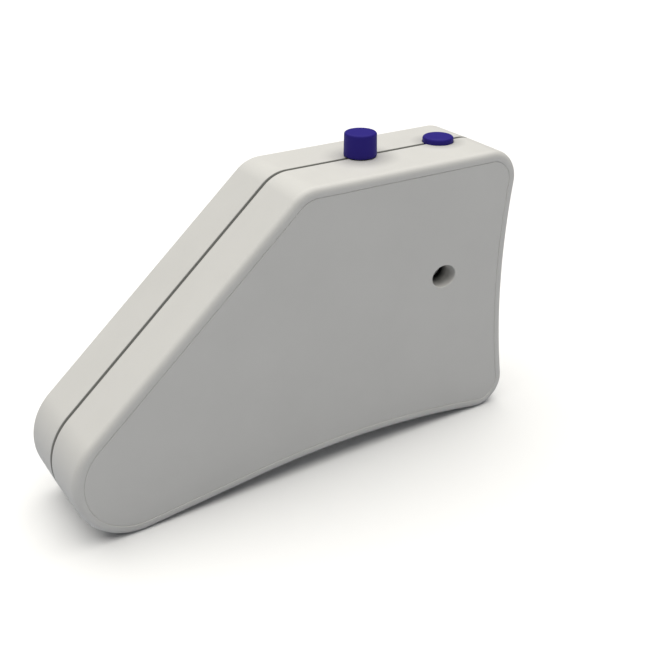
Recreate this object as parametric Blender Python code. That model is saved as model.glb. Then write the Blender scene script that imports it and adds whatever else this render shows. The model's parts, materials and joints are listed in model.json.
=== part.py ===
# Hearing screening device: a hand-held case with a level knob, a tone button and a sound port.
# The case is drawn in its own frame: X along its straight top edge, Y through its thickness, Z up. The
# origin is on the seam, where the top edge would meet the slanted edge. An empty stands it on its base.

import math

import bmesh
import bpy
from mathutils import Matrix, Vector

# Outline of the case, seen from its near side
HALF_DEPTH = 0.0200
SLANT_ANGLE = math.radians(41.7)
SLANT_LENGTH = 0.1012
BEND_RADIUS = 0.0130
HEEL_RADIUS = 0.0211
BASE_ANGLE = math.radians(7.2)
BASE_STRAIGHT_END_X = -0.0193
BASE_ARCH_RADIUS = 0.3286
NOSE_MIDDLE_X = 0.0833
NOSE_MIDDLE_Z = -0.0469
NOSE_ARCH_RADIUS = 0.2584
TOP_CORNER_RADIUS = 0.0111
BASE_CORNER_RADIUS = 0.0108
DRAFT = math.radians(0.5)
EDGE_RADIUS = 0.0026
RIM_WIDTH = 0.0034
RECESS_DEPTH = 0.0005
RECESS_SLOPE_WIDTH = 0.0002

# Walls and the joint between the two halves
WALL = 0.0026
FACE_WALL = 0.0030
INNER_RADIUS = 0.0016
SEAM_GAP = 0.0006
LAND_WIDTH = 0.0012
LIP_HEIGHT = 0.0015
FIT = 0.0003
OVERRUN = 0.0010
BASE_OVERRUN = 0.0040

# Screws of the case and the pillars that they join, as places on the outline's plane
SLANT_PILLAR = (-0.0403, -0.0479)
BEND_PILLAR = (0.0060, -0.0130)
TOP_PILLAR = (0.0780, -0.0090)
BASE_PILLAR = (0.0755, -0.0893)
ARCH_PILLAR_Z = -0.0890
ARCH_PILLAR_STEP = 0.0058
FAR_PILLAR_RADIUS = 0.0042
NEAR_PILLAR_RADIUS = 0.0036
PILLAR_GUSSET_REACH = 0.0024
GUSSET_THICKNESS = 0.0012
GUSSET_HEIGHT = 0.0050
COUNTERBORE_DEPTH = 0.0110
SCREW_HEAD_RADIUS = 0.0027
SCREW_HEAD_HEIGHT = 0.0020
SCREW_SHANK_RADIUS = 0.0014
SCREW_LENGTH = 0.0210
DRIVE_WIDTH = 0.0008
DRIVE_REACH = 0.0032
DRIVE_DEPTH = 0.0011

# Level control: knob, shaft and potentiometer
KNOB_X = 0.0333
KNOB_TOP_RADIUS = 0.0053
KNOB_BASE_RADIUS = 0.0057
KNOB_HEIGHT = 0.0083
KNOB_EDGE = 0.0006
KNOB_BORE_ROOF = 0.0016
SHAFT_RADIUS = 0.0030
SHAFT_FLAT = 0.0018
SHAFT_FLAT_LENGTH = 0.0068
SHAFT_HOLE_CLEARANCE = 0.0006
POT_WIDTH = 0.0110
POT_BODY_HEIGHT = 0.0061
POT_BASE_HEIGHT = 0.0008
BUSHING_RADIUS = 0.0042
BUSHING_HEIGHT = 0.0034
POT_BORE_FLOOR = 0.0007
PIN_WIDTH = 0.0007
PIN_PITCH = 0.0025

# Tone control: button, plunger and switch
BUTTON_X = 0.0657
BUTTON_RADIUS = 0.0054
BUTTON_HEIGHT = 0.0021
BUTTON_TRAVEL = 0.0012
BUTTON_FLANGE_REACH = 0.0014
BUTTON_FLANGE_HEIGHT = 0.0012
BUTTON_STEM_RADIUS = 0.0034
BUTTON_STEM_LENGTH = 0.0019
BUTTON_SOCKET_DEPTH = 0.0011
SWITCH_WIDTH = 0.0120
SWITCH_HEIGHT = 0.0045
SWITCH_WELL_DEPTH = 0.0033
PLUNGER_WIDTH = 0.0038
SWITCH_LEG_WIDTH = 0.0010
SWITCH_LEG_THICKNESS = 0.0005

# Circuit boards
BOARD_THICKNESS = 0.0016
CONTROL_BOARD_TOP = -0.0140
CONTROL_BOARD_X = (0.0240, 0.0720)
CONTROL_BOARD_NEAR = -0.0087
MAIN_BOARD_NEAR = 0.0093
MAIN_BOARD_END_X = 0.0720
BOARD_CLEARANCE = 0.0008
MAIN_BOARD_Z = (-0.0840, -0.0144)
BOARD_CORNER = 0.0020
BOARD_SCREW_INSET = 0.0040
BOARD_SCREW_RADIUS = 0.0009
BOARD_SCREW_HEAD_RADIUS = 0.0021
BOARD_SCREW_HEAD_HEIGHT = 0.0013
BOARD_SCREW_LENGTH = 0.0055
STANDOFF_RADIUS = 0.0028
LEAD_OUT_LENGTH = 0.0010
PIN_HOLE_RADIUS = 0.0009
HEADER_PINS = 6
HEADER_PITCH = 0.00254
HEADER_PIN = 0.0006
HEADER_WIDTH = 0.0025
HEADER_ROW = 0.0066
HEADER_DROP = -0.0180
RAIL_THICKNESS = 0.0012
RAIL_GRIP = 0.0012

# Sound port and receiver
PORT_X = 0.0553
PORT_Z = -0.0411
PORT_HALF_WIDTH = 0.0050
PORT_HALF_HEIGHT = 0.0041
PORT_TUBE_WALL = 0.0015
PORT_TUBE_END = -0.0110
PORT_FLANGE_RADIUS = 0.0085
PORT_FLANGE_HEIGHT = 0.0014
MESH_THICKNESS = 0.0004
GASKET_HOLE_RADIUS = 0.0060
GASKET_THICKNESS = 0.0008
RECEIVER_RADIUS = 0.0150
RECEIVER_RIM_HEIGHT = 0.0014
RECEIVER_RIM_WIDTH = 0.0018
RECEIVER_BASKET_HEIGHT = 0.0056
BASKET_WALL = 0.0009
BASKET_WINDOWS = 4
MAGNET_RADIUS = 0.0090
MAGNET_HEIGHT = 0.0044
COIL_RADIUS = 0.0041
COIL_WALL = 0.0006
COIL_GAP = 0.0012
COIL_DIP = 0.0016
CONE_THICKNESS = 0.0004
CONE_DEPTH = 0.0030
CONE_RISE = 0.0004
CONE_MIDDLE_RADIUS = 0.0100
TAB_ANGLE = math.radians(225.0)
TAB_REACH = (0.0106, 0.0138)
TAB_DEPTH = (-0.0056, -0.0042)
TAB_HALF_WIDTH = 0.0030
SEAT_WALL = 0.0014
LEDGE_WIDTH = 0.0040
CLAMP_BOLT_CIRCLE = 0.0186
CLAMP_BOLT_ANGLES = (math.radians(20.0), math.radians(140.0), math.radians(260.0))
CLAMP_BOSS_RADIUS = 0.0026
CLAMP_THICKNESS = 0.0012
CLAMP_EAR_STEP = 0.0001
CLAMP_SCREW_LENGTH = 0.0060

# Battery bay, its sliding cover and the battery, in a frame along the straight part of the base
BAY_START = 0.0090
BAY_LENGTH = 0.0570
BAY_FOOT = 0.0080
BAY_WIDTH = 0.0274
BAY_DEPTH = 0.0178
BAY_WALL = 0.0016
COVER_LEDGE = 0.0030
COVER_DEPTH = 0.0031
RAIL_REACH = 0.0008
RAIL_HEIGHT = 0.0008
RAIL_START = 0.0040
GRIP_RIB_HEIGHT = 0.0004
GRIP_RIB_LENGTH = 0.0200
GRIP_RIB_WIDTH = 0.0010
GRIP_RIB_PITCH = 0.0025
GRIP_RIB_COUNT = 4
SNAP_ROOM = 0.0106
BATTERY_CORNER = 0.0025
TERMINAL_RADIUS = 0.0029
TERMINAL_HEIGHT = 0.0026
TERMINAL_SPACING = 0.0127
SNAP_THICKNESS = 0.0022
SNAP_COLLAR_WALL = 0.0010
SNAP_CLEARANCE = 0.0024
SNAP_DEPTH = 0.0130
BAY_NOTCH_WIDTH = 0.0060
BAY_NOTCH_STEP = 0.0009

# Leads and parts on the main board
LEAD_RADIUS = 0.0006
LEAD_PITCH = 0.0025
LEAD_STEP = 0.0030
LEAD_HOLE_DEPTH = 0.0008
LEAD_BOW = 0.0160
LEAD_DROP = 0.0300
SOCKET_SIZE = (0.0056, 0.0080, 0.0060)
SOCKET_WALL = 0.0009
SOCKET_WELL = 0.0035
BATTERY_SOCKET_SHARE = 0.12
BATTERY_SOCKET_Z = -0.0734
RECEIVER_SOCKET_SHARE = 0.30
RECEIVER_SOCKET_Z = -0.0620
PROCESSOR_SHARE = 0.27
PROCESSOR_Z = -0.0400
PROCESSOR_SIZE = (0.0100, 0.0100)
AMPLIFIER_SHARE = 0.63
AMPLIFIER_Z = -0.0740
AMPLIFIER_SIZE = (0.0080, 0.0050)
CHIP_HEIGHT = 0.0014
CHIP_LEG_REACH = 0.0010
CHIP_LEG_WIDTH = 0.0005
CHIP_LEG_THICKNESS = 0.0003
CRYSTAL_SHARE = 0.22
CRYSTAL_Z = -0.0260
CRYSTAL_SIZE = (0.0110, 0.0046)
CRYSTAL_HEIGHT = 0.0034
CAPACITOR_RADIUS = 0.0032
CAPACITOR_HEIGHT = 0.0062
CAPACITOR_SHARE = 0.83
CAPACITOR_Z = (-0.0660, -0.0750)

# Facets of round forms
ROUND_FINE = 28
ROUND_MEDIUM = 20
ROUND_SMALL = 10
ROUND_TINY = 8
ROUND_HOLE = 6
FILLET_STEPS = 4
CORNER_STEPS = 3
REST_ROUNDS = 4

KEEP_OUT = SEAM_GAP / 2
FLOOR = HALF_DEPTH - FACE_WALL
PILLAR_SPLIT = FIT / 2
RECEIVER_FRONT = PORT_TUBE_END + FIT + MESH_THICKNESS + FIT + GASKET_THICKNESS + FIT
RECEIVER_BACK_OF_RIM = RECEIVER_FRONT + RECEIVER_RIM_HEIGHT
RECEIVER_BACK = RECEIVER_FRONT + RECEIVER_BASKET_HEIGHT
CONTROL_BOARD_FAR = MAIN_BOARD_NEAR - FIT
CONTROL_BOARD_UNDER = CONTROL_BOARD_TOP - BOARD_THICKNESS
MAIN_BOARD_FAR = MAIN_BOARD_NEAR + BOARD_THICKNESS
POCKET_FLOOR = HALF_DEPTH - COVER_DEPTH
COVER_INNER = POCKET_FLOOR + FIT
BAY_FLOOR = POCKET_FLOOR - BAY_DEPTH
BAY_NOTCH_FLOOR = BAY_FLOOR + BAY_NOTCH_STEP
BATTERY_LENGTH = BAY_LENGTH - SNAP_ROOM
BATTERY_THICKNESS = BAY_DEPTH - FIT * 2
SNAP_WIDTH = BAY_WIDTH - SNAP_CLEARANCE
COUNTERBORE_FLOOR = HALF_DEPTH - COUNTERBORE_DEPTH
SCREW_TIP = COUNTERBORE_FLOOR + FIT - SCREW_LENGTH
SHARP_ANGLE = math.radians(35.0)


def along(angle, length=1.0):
    return Vector((math.cos(angle), math.sin(angle))) * length


def angle_to(centre, target):
    return math.atan2(target[1] - centre[1], target[0] - centre[0])


def crossing(first, first_reach, second, second_reach):
    # The upper of the two points that lie at the given distances from two centres
    span = second - first
    share = (first_reach ** 2 - second_reach ** 2 + span.length ** 2) / (2 * span.length)
    height = math.sqrt(first_reach ** 2 - share ** 2)
    direction = span.normalized()
    across = Vector((-direction.y, direction.x))
    foot = first + direction * share
    return max(foot + across * height, foot - across * height, key=lambda point: point.y)


# Centres of the arcs that make the outline
SLANT_DIRECTION = -along(SLANT_ANGLE)
SLANT_OUTWARD = along(SLANT_ANGLE + math.pi / 2)
HEEL = SLANT_DIRECTION * SLANT_LENGTH - SLANT_OUTWARD * HEEL_RADIUS
BASE_DIRECTION = along(BASE_ANGLE)
BASE_OUTWARD = along(BASE_ANGLE - math.pi / 2)
BASE_START = HEEL + BASE_OUTWARD * HEEL_RADIUS
BASE_STRAIGHT_END = BASE_START + BASE_DIRECTION * (
    (BASE_STRAIGHT_END_X - BASE_START.x) / BASE_DIRECTION.x
)
BASE_ARCH = BASE_STRAIGHT_END + BASE_OUTWARD * BASE_ARCH_RADIUS
NOSE_ARCH = Vector((NOSE_MIDDLE_X + NOSE_ARCH_RADIUS, NOSE_MIDDLE_Z))
BEND = Vector((BEND_RADIUS * math.tan(SLANT_ANGLE / 2), -BEND_RADIUS))
TOP_CORNER_DROP = NOSE_MIDDLE_Z + TOP_CORNER_RADIUS
TOP_CORNER = Vector(
    (NOSE_ARCH.x - math.sqrt((NOSE_ARCH_RADIUS + TOP_CORNER_RADIUS) ** 2 - TOP_CORNER_DROP ** 2),
     -TOP_CORNER_RADIUS)
)
BASE_CORNER = crossing(
    NOSE_ARCH, NOSE_ARCH_RADIUS + BASE_CORNER_RADIUS,
    BASE_ARCH, BASE_ARCH_RADIUS + BASE_CORNER_RADIUS,
)
TURN = 2 * math.pi
OUTLINE_ARCS = [
    # centre, radius, first angle, last angle, facets, whether it bulges outward
    (BEND, BEND_RADIUS, math.pi / 2 + SLANT_ANGLE, math.pi / 2, 5, True),
    (TOP_CORNER, TOP_CORNER_RADIUS, math.pi / 2, angle_to(TOP_CORNER, NOSE_ARCH), 8, True),
    (NOSE_ARCH, NOSE_ARCH_RADIUS, angle_to(NOSE_ARCH, TOP_CORNER) % TURN,
     angle_to(NOSE_ARCH, BASE_CORNER) % TURN, 5, False),
    (BASE_CORNER, BASE_CORNER_RADIUS, angle_to(BASE_CORNER, NOSE_ARCH),
     angle_to(BASE_CORNER, BASE_ARCH), 9, True),
    (BASE_ARCH, BASE_ARCH_RADIUS, angle_to(BASE_ARCH, BASE_CORNER),
     math.pi / 2 + BASE_ANGLE, 6, False),
    (HEEL, HEEL_RADIUS, BASE_ANGLE - math.pi / 2 + TURN, math.pi / 2 + SLANT_ANGLE, 14, True),
]
# The battery bay ends beside one pillar and beside the main board
BAY_END_X = (BASE_START + BASE_DIRECTION * (BAY_START + BAY_LENGTH + COVER_LEDGE + BAY_WALL)).x
ARCH_PILLAR = (BAY_END_X + ARCH_PILLAR_STEP, ARCH_PILLAR_Z)
CASE_SCREWS = [tuple(HEEL), SLANT_PILLAR, BEND_PILLAR, TOP_PILLAR, BASE_PILLAR, ARCH_PILLAR]
MAIN_BOARD_START_X = max(BAY_END_X, BEND_PILLAR[0] + FAR_PILLAR_RADIUS) + BOARD_CLEARANCE
MAIN_BOARD_X = (MAIN_BOARD_START_X, MAIN_BOARD_END_X)


def board_place(share, level):
    # A place on the main board from its share of the board's length and its height
    return MAIN_BOARD_START_X + (MAIN_BOARD_END_X - MAIN_BOARD_START_X) * share, level


BATTERY_SOCKET = board_place(BATTERY_SOCKET_SHARE, BATTERY_SOCKET_Z)
RECEIVER_SOCKET = board_place(RECEIVER_SOCKET_SHARE, RECEIVER_SOCKET_Z)
PROCESSOR_PLACE = board_place(PROCESSOR_SHARE, PROCESSOR_Z)
AMPLIFIER_PLACE = board_place(AMPLIFIER_SHARE, AMPLIFIER_Z)
CRYSTAL_PLACE = board_place(CRYSTAL_SHARE, CRYSTAL_Z)
CAPACITOR_PLACES = [board_place(CAPACITOR_SHARE, level) for level in CAPACITOR_Z]
# A frame with its X along the straight part of the base, its Z into the case
BASE_FRAME = Matrix.Translation((BASE_START.x, 0, BASE_START.y)) @ Matrix.Rotation(-BASE_ANGLE, 4, "Y")


# Shapes: each function gives a bmesh in the case's frame


def ring(inset):
    # The outline moved inward by an inset, as points (x, z)
    points = []
    for centre, radius, first, last, facets, bulges in OUTLINE_ARCS:
        reach = radius - inset if bulges else radius + inset
        for step in range(facets + 1):
            point = centre + along(first + (last - first) * step / facets, reach)
            # Arcs that meet share one point
            if not points or (point - points[-1]).length > FIT:
                points.append(point)
    return points


def loft(sections, closed=False):
    # A solid through sections of equal point count, each given as points (x, z) and a depth y
    shape = bmesh.new()
    rows = [[shape.verts.new((p[0], y, p[1])) for p in points] for points, y in sections]
    count = len(rows[0])
    pairs = list(zip(rows, rows[1:]))
    if closed:
        pairs.append((rows[-1], rows[0]))
    for row, following in pairs:
        for k in range(count):
            after = (k + 1) % count
            shape.faces.new((row[k], row[after], following[after], following[k]))
    if not closed:
        shape.faces.new(rows[0])
        shape.faces.new(rows[-1])
    bmesh.ops.recalc_face_normals(shape, faces=shape.faces)
    return shape


def block(low, high, frame=Matrix()):
    shape = bmesh.new()
    size = [b - a for a, b in zip(low, high)]
    middle = [(a + b) / 2 for a, b in zip(low, high)]
    fit = frame @ Matrix.Translation(middle) @ Matrix.Diagonal((*size, 1.0))
    bmesh.ops.create_cube(shape, size=1.0, matrix=fit)
    return shape


def rod(radius, start, end, facets):
    start, end = Vector(start), Vector(end)
    axis = end - start
    shape = bmesh.new()
    turn = Vector((0, 0, 1)).rotation_difference(axis).to_matrix().to_4x4()
    bmesh.ops.create_cone(
        shape, cap_ends=True, segments=facets, radius1=radius, radius2=radius,
        depth=axis.length, matrix=Matrix.Translation((start + end) / 2) @ turn,
    )
    return shape


def turned(profile, place, axis, facets, closed=False):
    # A turned solid: the profile holds (radius, distance along the axis) and starts and ends on the axis,
    # or is a closed loop clear of it
    shape = bmesh.new()
    frame = Matrix.Translation(place) @ Vector((0, 0, 1)).rotation_difference(axis).to_matrix().to_4x4()
    rows = []
    for radius, height in profile:
        count = facets if radius > 0 else 1
        rows.append([
            shape.verts.new(frame @ Vector((*along(TURN * k / facets, radius), height)))
            for k in range(count)
        ])
    pairs = list(zip(rows, rows[1:]))
    if closed:
        pairs.append((rows[-1], rows[0]))
    for row, following in pairs:
        for k in range(facets):
            after = (k + 1) % facets
            corners = [row[k % len(row)], row[after % len(row)],
                       following[after % len(following)], following[k % len(following)]]
            shape.faces.new(list(dict.fromkeys(corners)))
    bmesh.ops.recalc_face_normals(shape, faces=shape.faces)
    return shape


def oval(half_width, half_height, near, far, facets):
    # A straight oval bar along Y, centred on the sound port
    points = []
    for k in range(facets):
        angle = TURN * k / facets
        points.append((PORT_X + half_width * math.cos(angle), PORT_Z + half_height * math.sin(angle)))
    return loft([(points, near), (points, far)])


def together(shapes):
    # Several shapes that lie clear of each other, as one
    whole = bmesh.new()
    for shape in shapes:
        part = bpy.data.meshes.new("part")
        shape.to_mesh(part)
        shape.free()
        whole.from_mesh(part)
        bpy.data.meshes.remove(part)
    return whole


# Objects: every solid hangs on one empty, the case's frame, which stands the case on its base


def standing_frame():
    # Turns the case until its heel and its base corner rest on one level, with its middle over the origin
    points = ring(0)
    slope = angle_to(HEEL, BASE_CORNER)
    for _ in range(REST_ROUNDS):
        down = along(slope - math.pi / 2)
        heel_foot = max((p for p in points if p.x < 0), key=lambda p: p.dot(down))
        corner_foot = max((p for p in points if p.x > 0), key=lambda p: p.dot(down))
        slope = angle_to(heel_foot, corner_foot)
    turned_points = [Matrix.Rotation(-slope, 2) @ p for p in points]
    frame = bpy.data.objects.new("case_frame", None)
    bpy.context.scene.collection.objects.link(frame)
    frame.rotation_euler.y = slope
    middle = (min(p.x for p in turned_points) + max(p.x for p in turned_points)) / 2
    frame.location = (-middle, 0, -min(p.y for p in turned_points))
    return frame


def node(name, shape, material=None):
    mesh = bpy.data.meshes.new(name)
    shape.to_mesh(mesh)
    shape.free()
    thing = bpy.data.objects.new(name, mesh)
    bpy.context.scene.collection.objects.link(thing)
    if material:
        mesh.materials.append(material)
    return thing


def taken(thing):
    # An object's solid taken back as a shape
    shape = bmesh.new()
    shape.from_mesh(thing.data)
    bpy.data.objects.remove(thing, do_unlink=True)
    return shape


def change(thing, shape, operation):
    # Joins a shape to an object, cuts it out of it or keeps what they share
    tool = node("tool", shape)
    step = thing.modifiers.new("change", "BOOLEAN")
    step.operation = operation
    step.solver = "EXACT"
    step.object = tool
    graph = bpy.context.evaluated_depsgraph_get()
    result = bpy.data.meshes.new_from_object(thing.evaluated_get(graph))
    thing.modifiers.remove(step)
    old = thing.data
    thing.data = result
    result.name = thing.name
    bpy.data.meshes.remove(old)
    tool_mesh = tool.data
    bpy.data.objects.remove(tool, do_unlink=True)
    bpy.data.meshes.remove(tool_mesh)


def join(thing, *shapes):
    for shape in shapes:
        change(thing, shape, "UNION")


def cut(thing, *shapes):
    for shape in shapes:
        change(thing, shape, "DIFFERENCE")


def keep(thing, shape):
    change(thing, shape, "INTERSECT")


def seat(thing, pivot=(0, 0, 0)):
    # Moves the origin to a pivot, shades the round faces and hangs the object on the case
    pivot = Vector(pivot)
    thing.data.transform(Matrix.Translation(-pivot))
    thing.data.shade_smooth()
    thing.data.set_sharp_from_angle(angle=SHARP_ANGLE)
    thing.location = pivot
    thing.parent = case_frame
    return thing


def coat(name, colour, roughness, metallic=0.0):
    material = bpy.data.materials.new(name)
    material.use_nodes = True
    shader = material.node_tree.nodes["Principled BSDF"]
    shader.inputs["Base Color"].default_value = (*colour, 1.0)
    shader.inputs["Roughness"].default_value = roughness
    shader.inputs["Metallic"].default_value = metallic
    material.diffuse_color = (*colour, 1.0)
    return material


# Shell halves


def side_inset(depth):
    # How far the draft has drawn the side wall in at a depth from the seam
    return math.tan(DRAFT) * (depth - KEEP_OUT)


def outer_sections(side):
    # The outside of one half from its seam to the floor of its face recess
    straight = HALF_DEPTH - EDGE_RADIUS
    drawn = side_inset(straight)
    sections = [(ring(0), side * KEEP_OUT)]
    for step in range(FILLET_STEPS + 1):
        turn = along(math.pi / 2 * step / FILLET_STEPS, EDGE_RADIUS)
        sections.append((ring(drawn + EDGE_RADIUS - turn.x), side * (straight + turn.y)))
    sections.append((ring(RIM_WIDTH), side * HALF_DEPTH))
    sections.append((ring(RIM_WIDTH + RECESS_SLOPE_WIDTH), side * (HALF_DEPTH - RECESS_DEPTH)))
    return sections


def inner_sections(side):
    # The inside of one half from its wall to its floor
    straight = FLOOR - INNER_RADIUS
    sections = []
    for step in range(FILLET_STEPS // 2 + 1):
        turn = along(math.pi / FILLET_STEPS * step, INNER_RADIUS)
        sections.append((ring(WALL + INNER_RADIUS - turn.x), side * (straight + turn.y)))
    return sections


def pillars(radius, start, end, facets):
    return [rod(radius, (x, start, z), (x, end, z), facets) for x, z in CASE_SCREWS]


def gussets(radius, floor, top):
    # Crossed ribs that stiffen each pillar
    reach = radius + PILLAR_GUSSET_REACH
    half = GUSSET_THICKNESS / 2
    low, high = min(floor, top), max(floor, top)
    ribs = []
    for x, z in CASE_SCREWS:
        ribs.append(block((x - reach, low, z - half), (x + reach, high, z + half)))
        ribs.append(block((x - half, low, z - reach), (x + half, high, z + reach)))
    return ribs


def control_holes():
    # Openings for the shaft and the button, which both halves share across the seam
    shaft = SHAFT_RADIUS + SHAFT_HOLE_CLEARANCE
    button = BUTTON_RADIUS + FIT
    under = -WALL - OVERRUN
    return together([
        rod(shaft, (KNOB_X, 0, under), (KNOB_X, 0, OVERRUN), ROUND_MEDIUM),
        rod(button, (BUTTON_X, 0, under), (BUTTON_X, 0, OVERRUN), ROUND_FINE),
    ])


def bolt_places():
    return [
        Vector((PORT_X, 0, PORT_Z)) + Vector((*along(angle, CLAMP_BOLT_CIRCLE), 0)).xzy
        for angle in CLAMP_BOLT_ANGLES
    ]


def receiver_seat():
    # Ring wall, ledges and screw bosses that carry the receiver behind the port
    root = -FLOOR - OVERRUN
    wall_in = RECEIVER_RADIUS + FIT
    wall_out = wall_in + SEAT_WALL
    top = RECEIVER_BACK_OF_RIM
    wall_top = top - FIT
    wall = turned(
        [(wall_in, root), (wall_out, root), (wall_out, wall_top), (wall_in, wall_top)],
        (PORT_X, 0, PORT_Z), Vector((0, 1, 0)), ROUND_FINE, closed=True,
    )
    ledge_top = RECEIVER_FRONT - FIT
    half = LEDGE_WIDTH / 2
    ledge_in = RECEIVER_RADIUS - RECEIVER_RIM_WIDTH
    ledge_out = wall_out - SEAT_WALL / 2
    ledges = []
    for k in range(4):
        frame = Matrix.Translation((PORT_X, 0, PORT_Z)) @ Matrix.Rotation(TURN * (k + 0.5) / 4, 4, "Y")
        ledges.append(block((ledge_in, root, -half), (ledge_out, ledge_top, half), frame))
    bosses = [rod(CLAMP_BOSS_RADIUS, (p.x, root, p.z), (p.x, top, p.z), ROUND_SMALL) for p in bolt_places()]
    return wall, ledges, bosses


def make_near_shell(plastic):
    lip_inset = LAND_WIDTH + FIT
    lip = [
        (ring(lip_inset), -KEEP_OUT), (ring(lip_inset), LIP_HEIGHT), (ring(WALL), LIP_HEIGHT),
    ]
    sections = list(reversed(outer_sections(-1))) + lip + inner_sections(-1)
    shell = node("near_shell", loft(sections), plastic)
    root = -FLOOR - OVERRUN
    rail_end = CONTROL_BOARD_NEAR + RAIL_GRIP
    rail_low, rail_high = CONTROL_BOARD_X
    upper = CONTROL_BOARD_TOP + FIT
    lower = CONTROL_BOARD_UNDER - FIT
    join(
        shell,
        together(pillars(NEAR_PILLAR_RADIUS, root, -PILLAR_SPLIT, ROUND_SMALL)),
        *gussets(NEAR_PILLAR_RADIUS, root, -FLOOR + GUSSET_HEIGHT),
        together([
            block((rail_low, root, upper), (rail_high, rail_end, upper + RAIL_THICKNESS)),
            block((rail_low, root, lower - RAIL_THICKNESS), (rail_high, rail_end, lower)),
        ]),
        oval(PORT_HALF_WIDTH + PORT_TUBE_WALL, PORT_HALF_HEIGHT + PORT_TUBE_WALL,
             root, PORT_TUBE_END - PORT_FLANGE_HEIGHT / 2, ROUND_MEDIUM),
        rod(PORT_FLANGE_RADIUS, (PORT_X, PORT_TUBE_END - PORT_FLANGE_HEIGHT, PORT_Z),
            (PORT_X, PORT_TUBE_END, PORT_Z), ROUND_MEDIUM),
    )
    wall, ledges, bosses = receiver_seat()
    join(shell, wall, together(ledges), together(bosses))
    pilot = SCREW_SHANK_RADIUS + FIT
    clamp_pilot = BOARD_SCREW_RADIUS + FIT
    bolt_floor = RECEIVER_BACK_OF_RIM - CLAMP_SCREW_LENGTH
    cut(
        shell,
        oval(PORT_HALF_WIDTH, PORT_HALF_HEIGHT, -HALF_DEPTH - OVERRUN, PORT_TUBE_END + OVERRUN, ROUND_MEDIUM),
        together(pillars(pilot, SCREW_TIP - FIT, OVERRUN, ROUND_SMALL)),
        together([
            rod(clamp_pilot, (p.x, bolt_floor, p.z), (p.x, RECEIVER_BACK_OF_RIM + OVERRUN, p.z), ROUND_TINY)
            for p in bolt_places()
        ]),
        control_holes(),
    )
    return seat(shell)


def bay(grow, floor, top):
    # The battery bay's box, grown on its four sides
    return block(
        (BAY_START - grow, floor, BAY_FOOT - grow),
        (BAY_START + BAY_LENGTH + grow, top, BAY_FOOT + BAY_WIDTH + grow), BASE_FRAME,
    )


def cover_bed(sides, top, floor, roof):
    # A slab under or around the cover, running out over the base of the case
    return block(
        (BAY_START - COVER_LEDGE - sides, floor, -BASE_OVERRUN),
        (BAY_START + BAY_LENGTH + COVER_LEDGE + sides, roof, BAY_FOOT + BAY_WIDTH + COVER_LEDGE + top),
        BASE_FRAME,
    )


def board_screw_places():
    low_x, high_x = MAIN_BOARD_X
    low_z, high_z = MAIN_BOARD_Z
    return [
        (x, z)
        for x in (low_x + BOARD_SCREW_INSET, high_x - BOARD_SCREW_INSET)
        for z in (low_z + BOARD_SCREW_INSET, high_z - BOARD_SCREW_INSET)
    ]


def make_far_shell(plastic):
    rebate = [
        (ring(LAND_WIDTH), KEEP_OUT), (ring(LAND_WIDTH), LIP_HEIGHT + FIT), (ring(WALL), LIP_HEIGHT + FIT),
    ]
    shell = node("far_shell", loft(list(reversed(outer_sections(1))) + rebate + inner_sections(1)), plastic)
    root = FLOOR + OVERRUN
    bed = node("bed", cover_bed(BAY_WALL, BAY_WALL, POCKET_FLOOR - BAY_WALL, HALF_DEPTH - BAY_WALL))
    keep(bed, loft([(ring(WALL / 2), -HALF_DEPTH), (ring(WALL / 2), HALF_DEPTH)]))
    standoff_end = MAIN_BOARD_FAR + FIT
    join(
        shell,
        together(pillars(FAR_PILLAR_RADIUS, PILLAR_SPLIT, root, ROUND_SMALL)),
        *gussets(FAR_PILLAR_RADIUS, FLOOR - GUSSET_HEIGHT, root),
        together([
            rod(STANDOFF_RADIUS, (x, standoff_end, z), (x, root, z), ROUND_SMALL)
            for x, z in board_screw_places()
        ]),
        bay(BAY_WALL, BAY_FLOOR - BAY_WALL, POCKET_FLOOR - BAY_WALL / 2),
        taken(bed),
    )
    half_notch = BAY_NOTCH_WIDTH / 2
    middle = BAY_FOOT + BAY_WIDTH / 2
    wall_start = BAY_START + BAY_LENGTH
    notch = block(
        (wall_start - OVERRUN, BAY_NOTCH_FLOOR, middle - half_notch),
        (wall_start + BAY_WALL + OVERRUN, BAY_NOTCH_FLOOR + BAY_NOTCH_WIDTH, middle + half_notch), BASE_FRAME,
    )
    first = BAY_START - COVER_LEDGE
    last = BAY_START + BAY_LENGTH + COVER_LEDGE
    groove_floor = POCKET_FLOOR + FIT / 2
    groove_roof = COVER_INNER + RAIL_HEIGHT + FIT
    groove_top = BAY_FOOT + BAY_WIDTH + COVER_LEDGE - FIT
    standoff_pilot = BOARD_SCREW_RADIUS + FIT
    pilot_floor = MAIN_BOARD_NEAR - FIT + BOARD_SCREW_LENGTH + FIT
    cut(
        shell,
        cover_bed(0, 0, POCKET_FLOOR, HALF_DEPTH + OVERRUN),
        together([
            block((low, groove_floor, -BASE_OVERRUN), (high, groove_roof, groove_top), BASE_FRAME)
            for low, high in ((first - RAIL_REACH, first + OVERRUN), (last - OVERRUN, last + RAIL_REACH))
        ]),
        bay(0, BAY_FLOOR, HALF_DEPTH),
        notch,
        together(pillars(SCREW_HEAD_RADIUS + FIT, COUNTERBORE_FLOOR, HALF_DEPTH + OVERRUN, ROUND_SMALL)),
        together(pillars(SCREW_SHANK_RADIUS + FIT, -OVERRUN, COUNTERBORE_FLOOR + OVERRUN, ROUND_SMALL)),
        together([
            rod(standoff_pilot, (x, standoff_end - OVERRUN, z), (x, pilot_floor, z), ROUND_TINY)
            for x, z in board_screw_places()
        ]),
        control_holes(),
    )
    return seat(shell)


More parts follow.
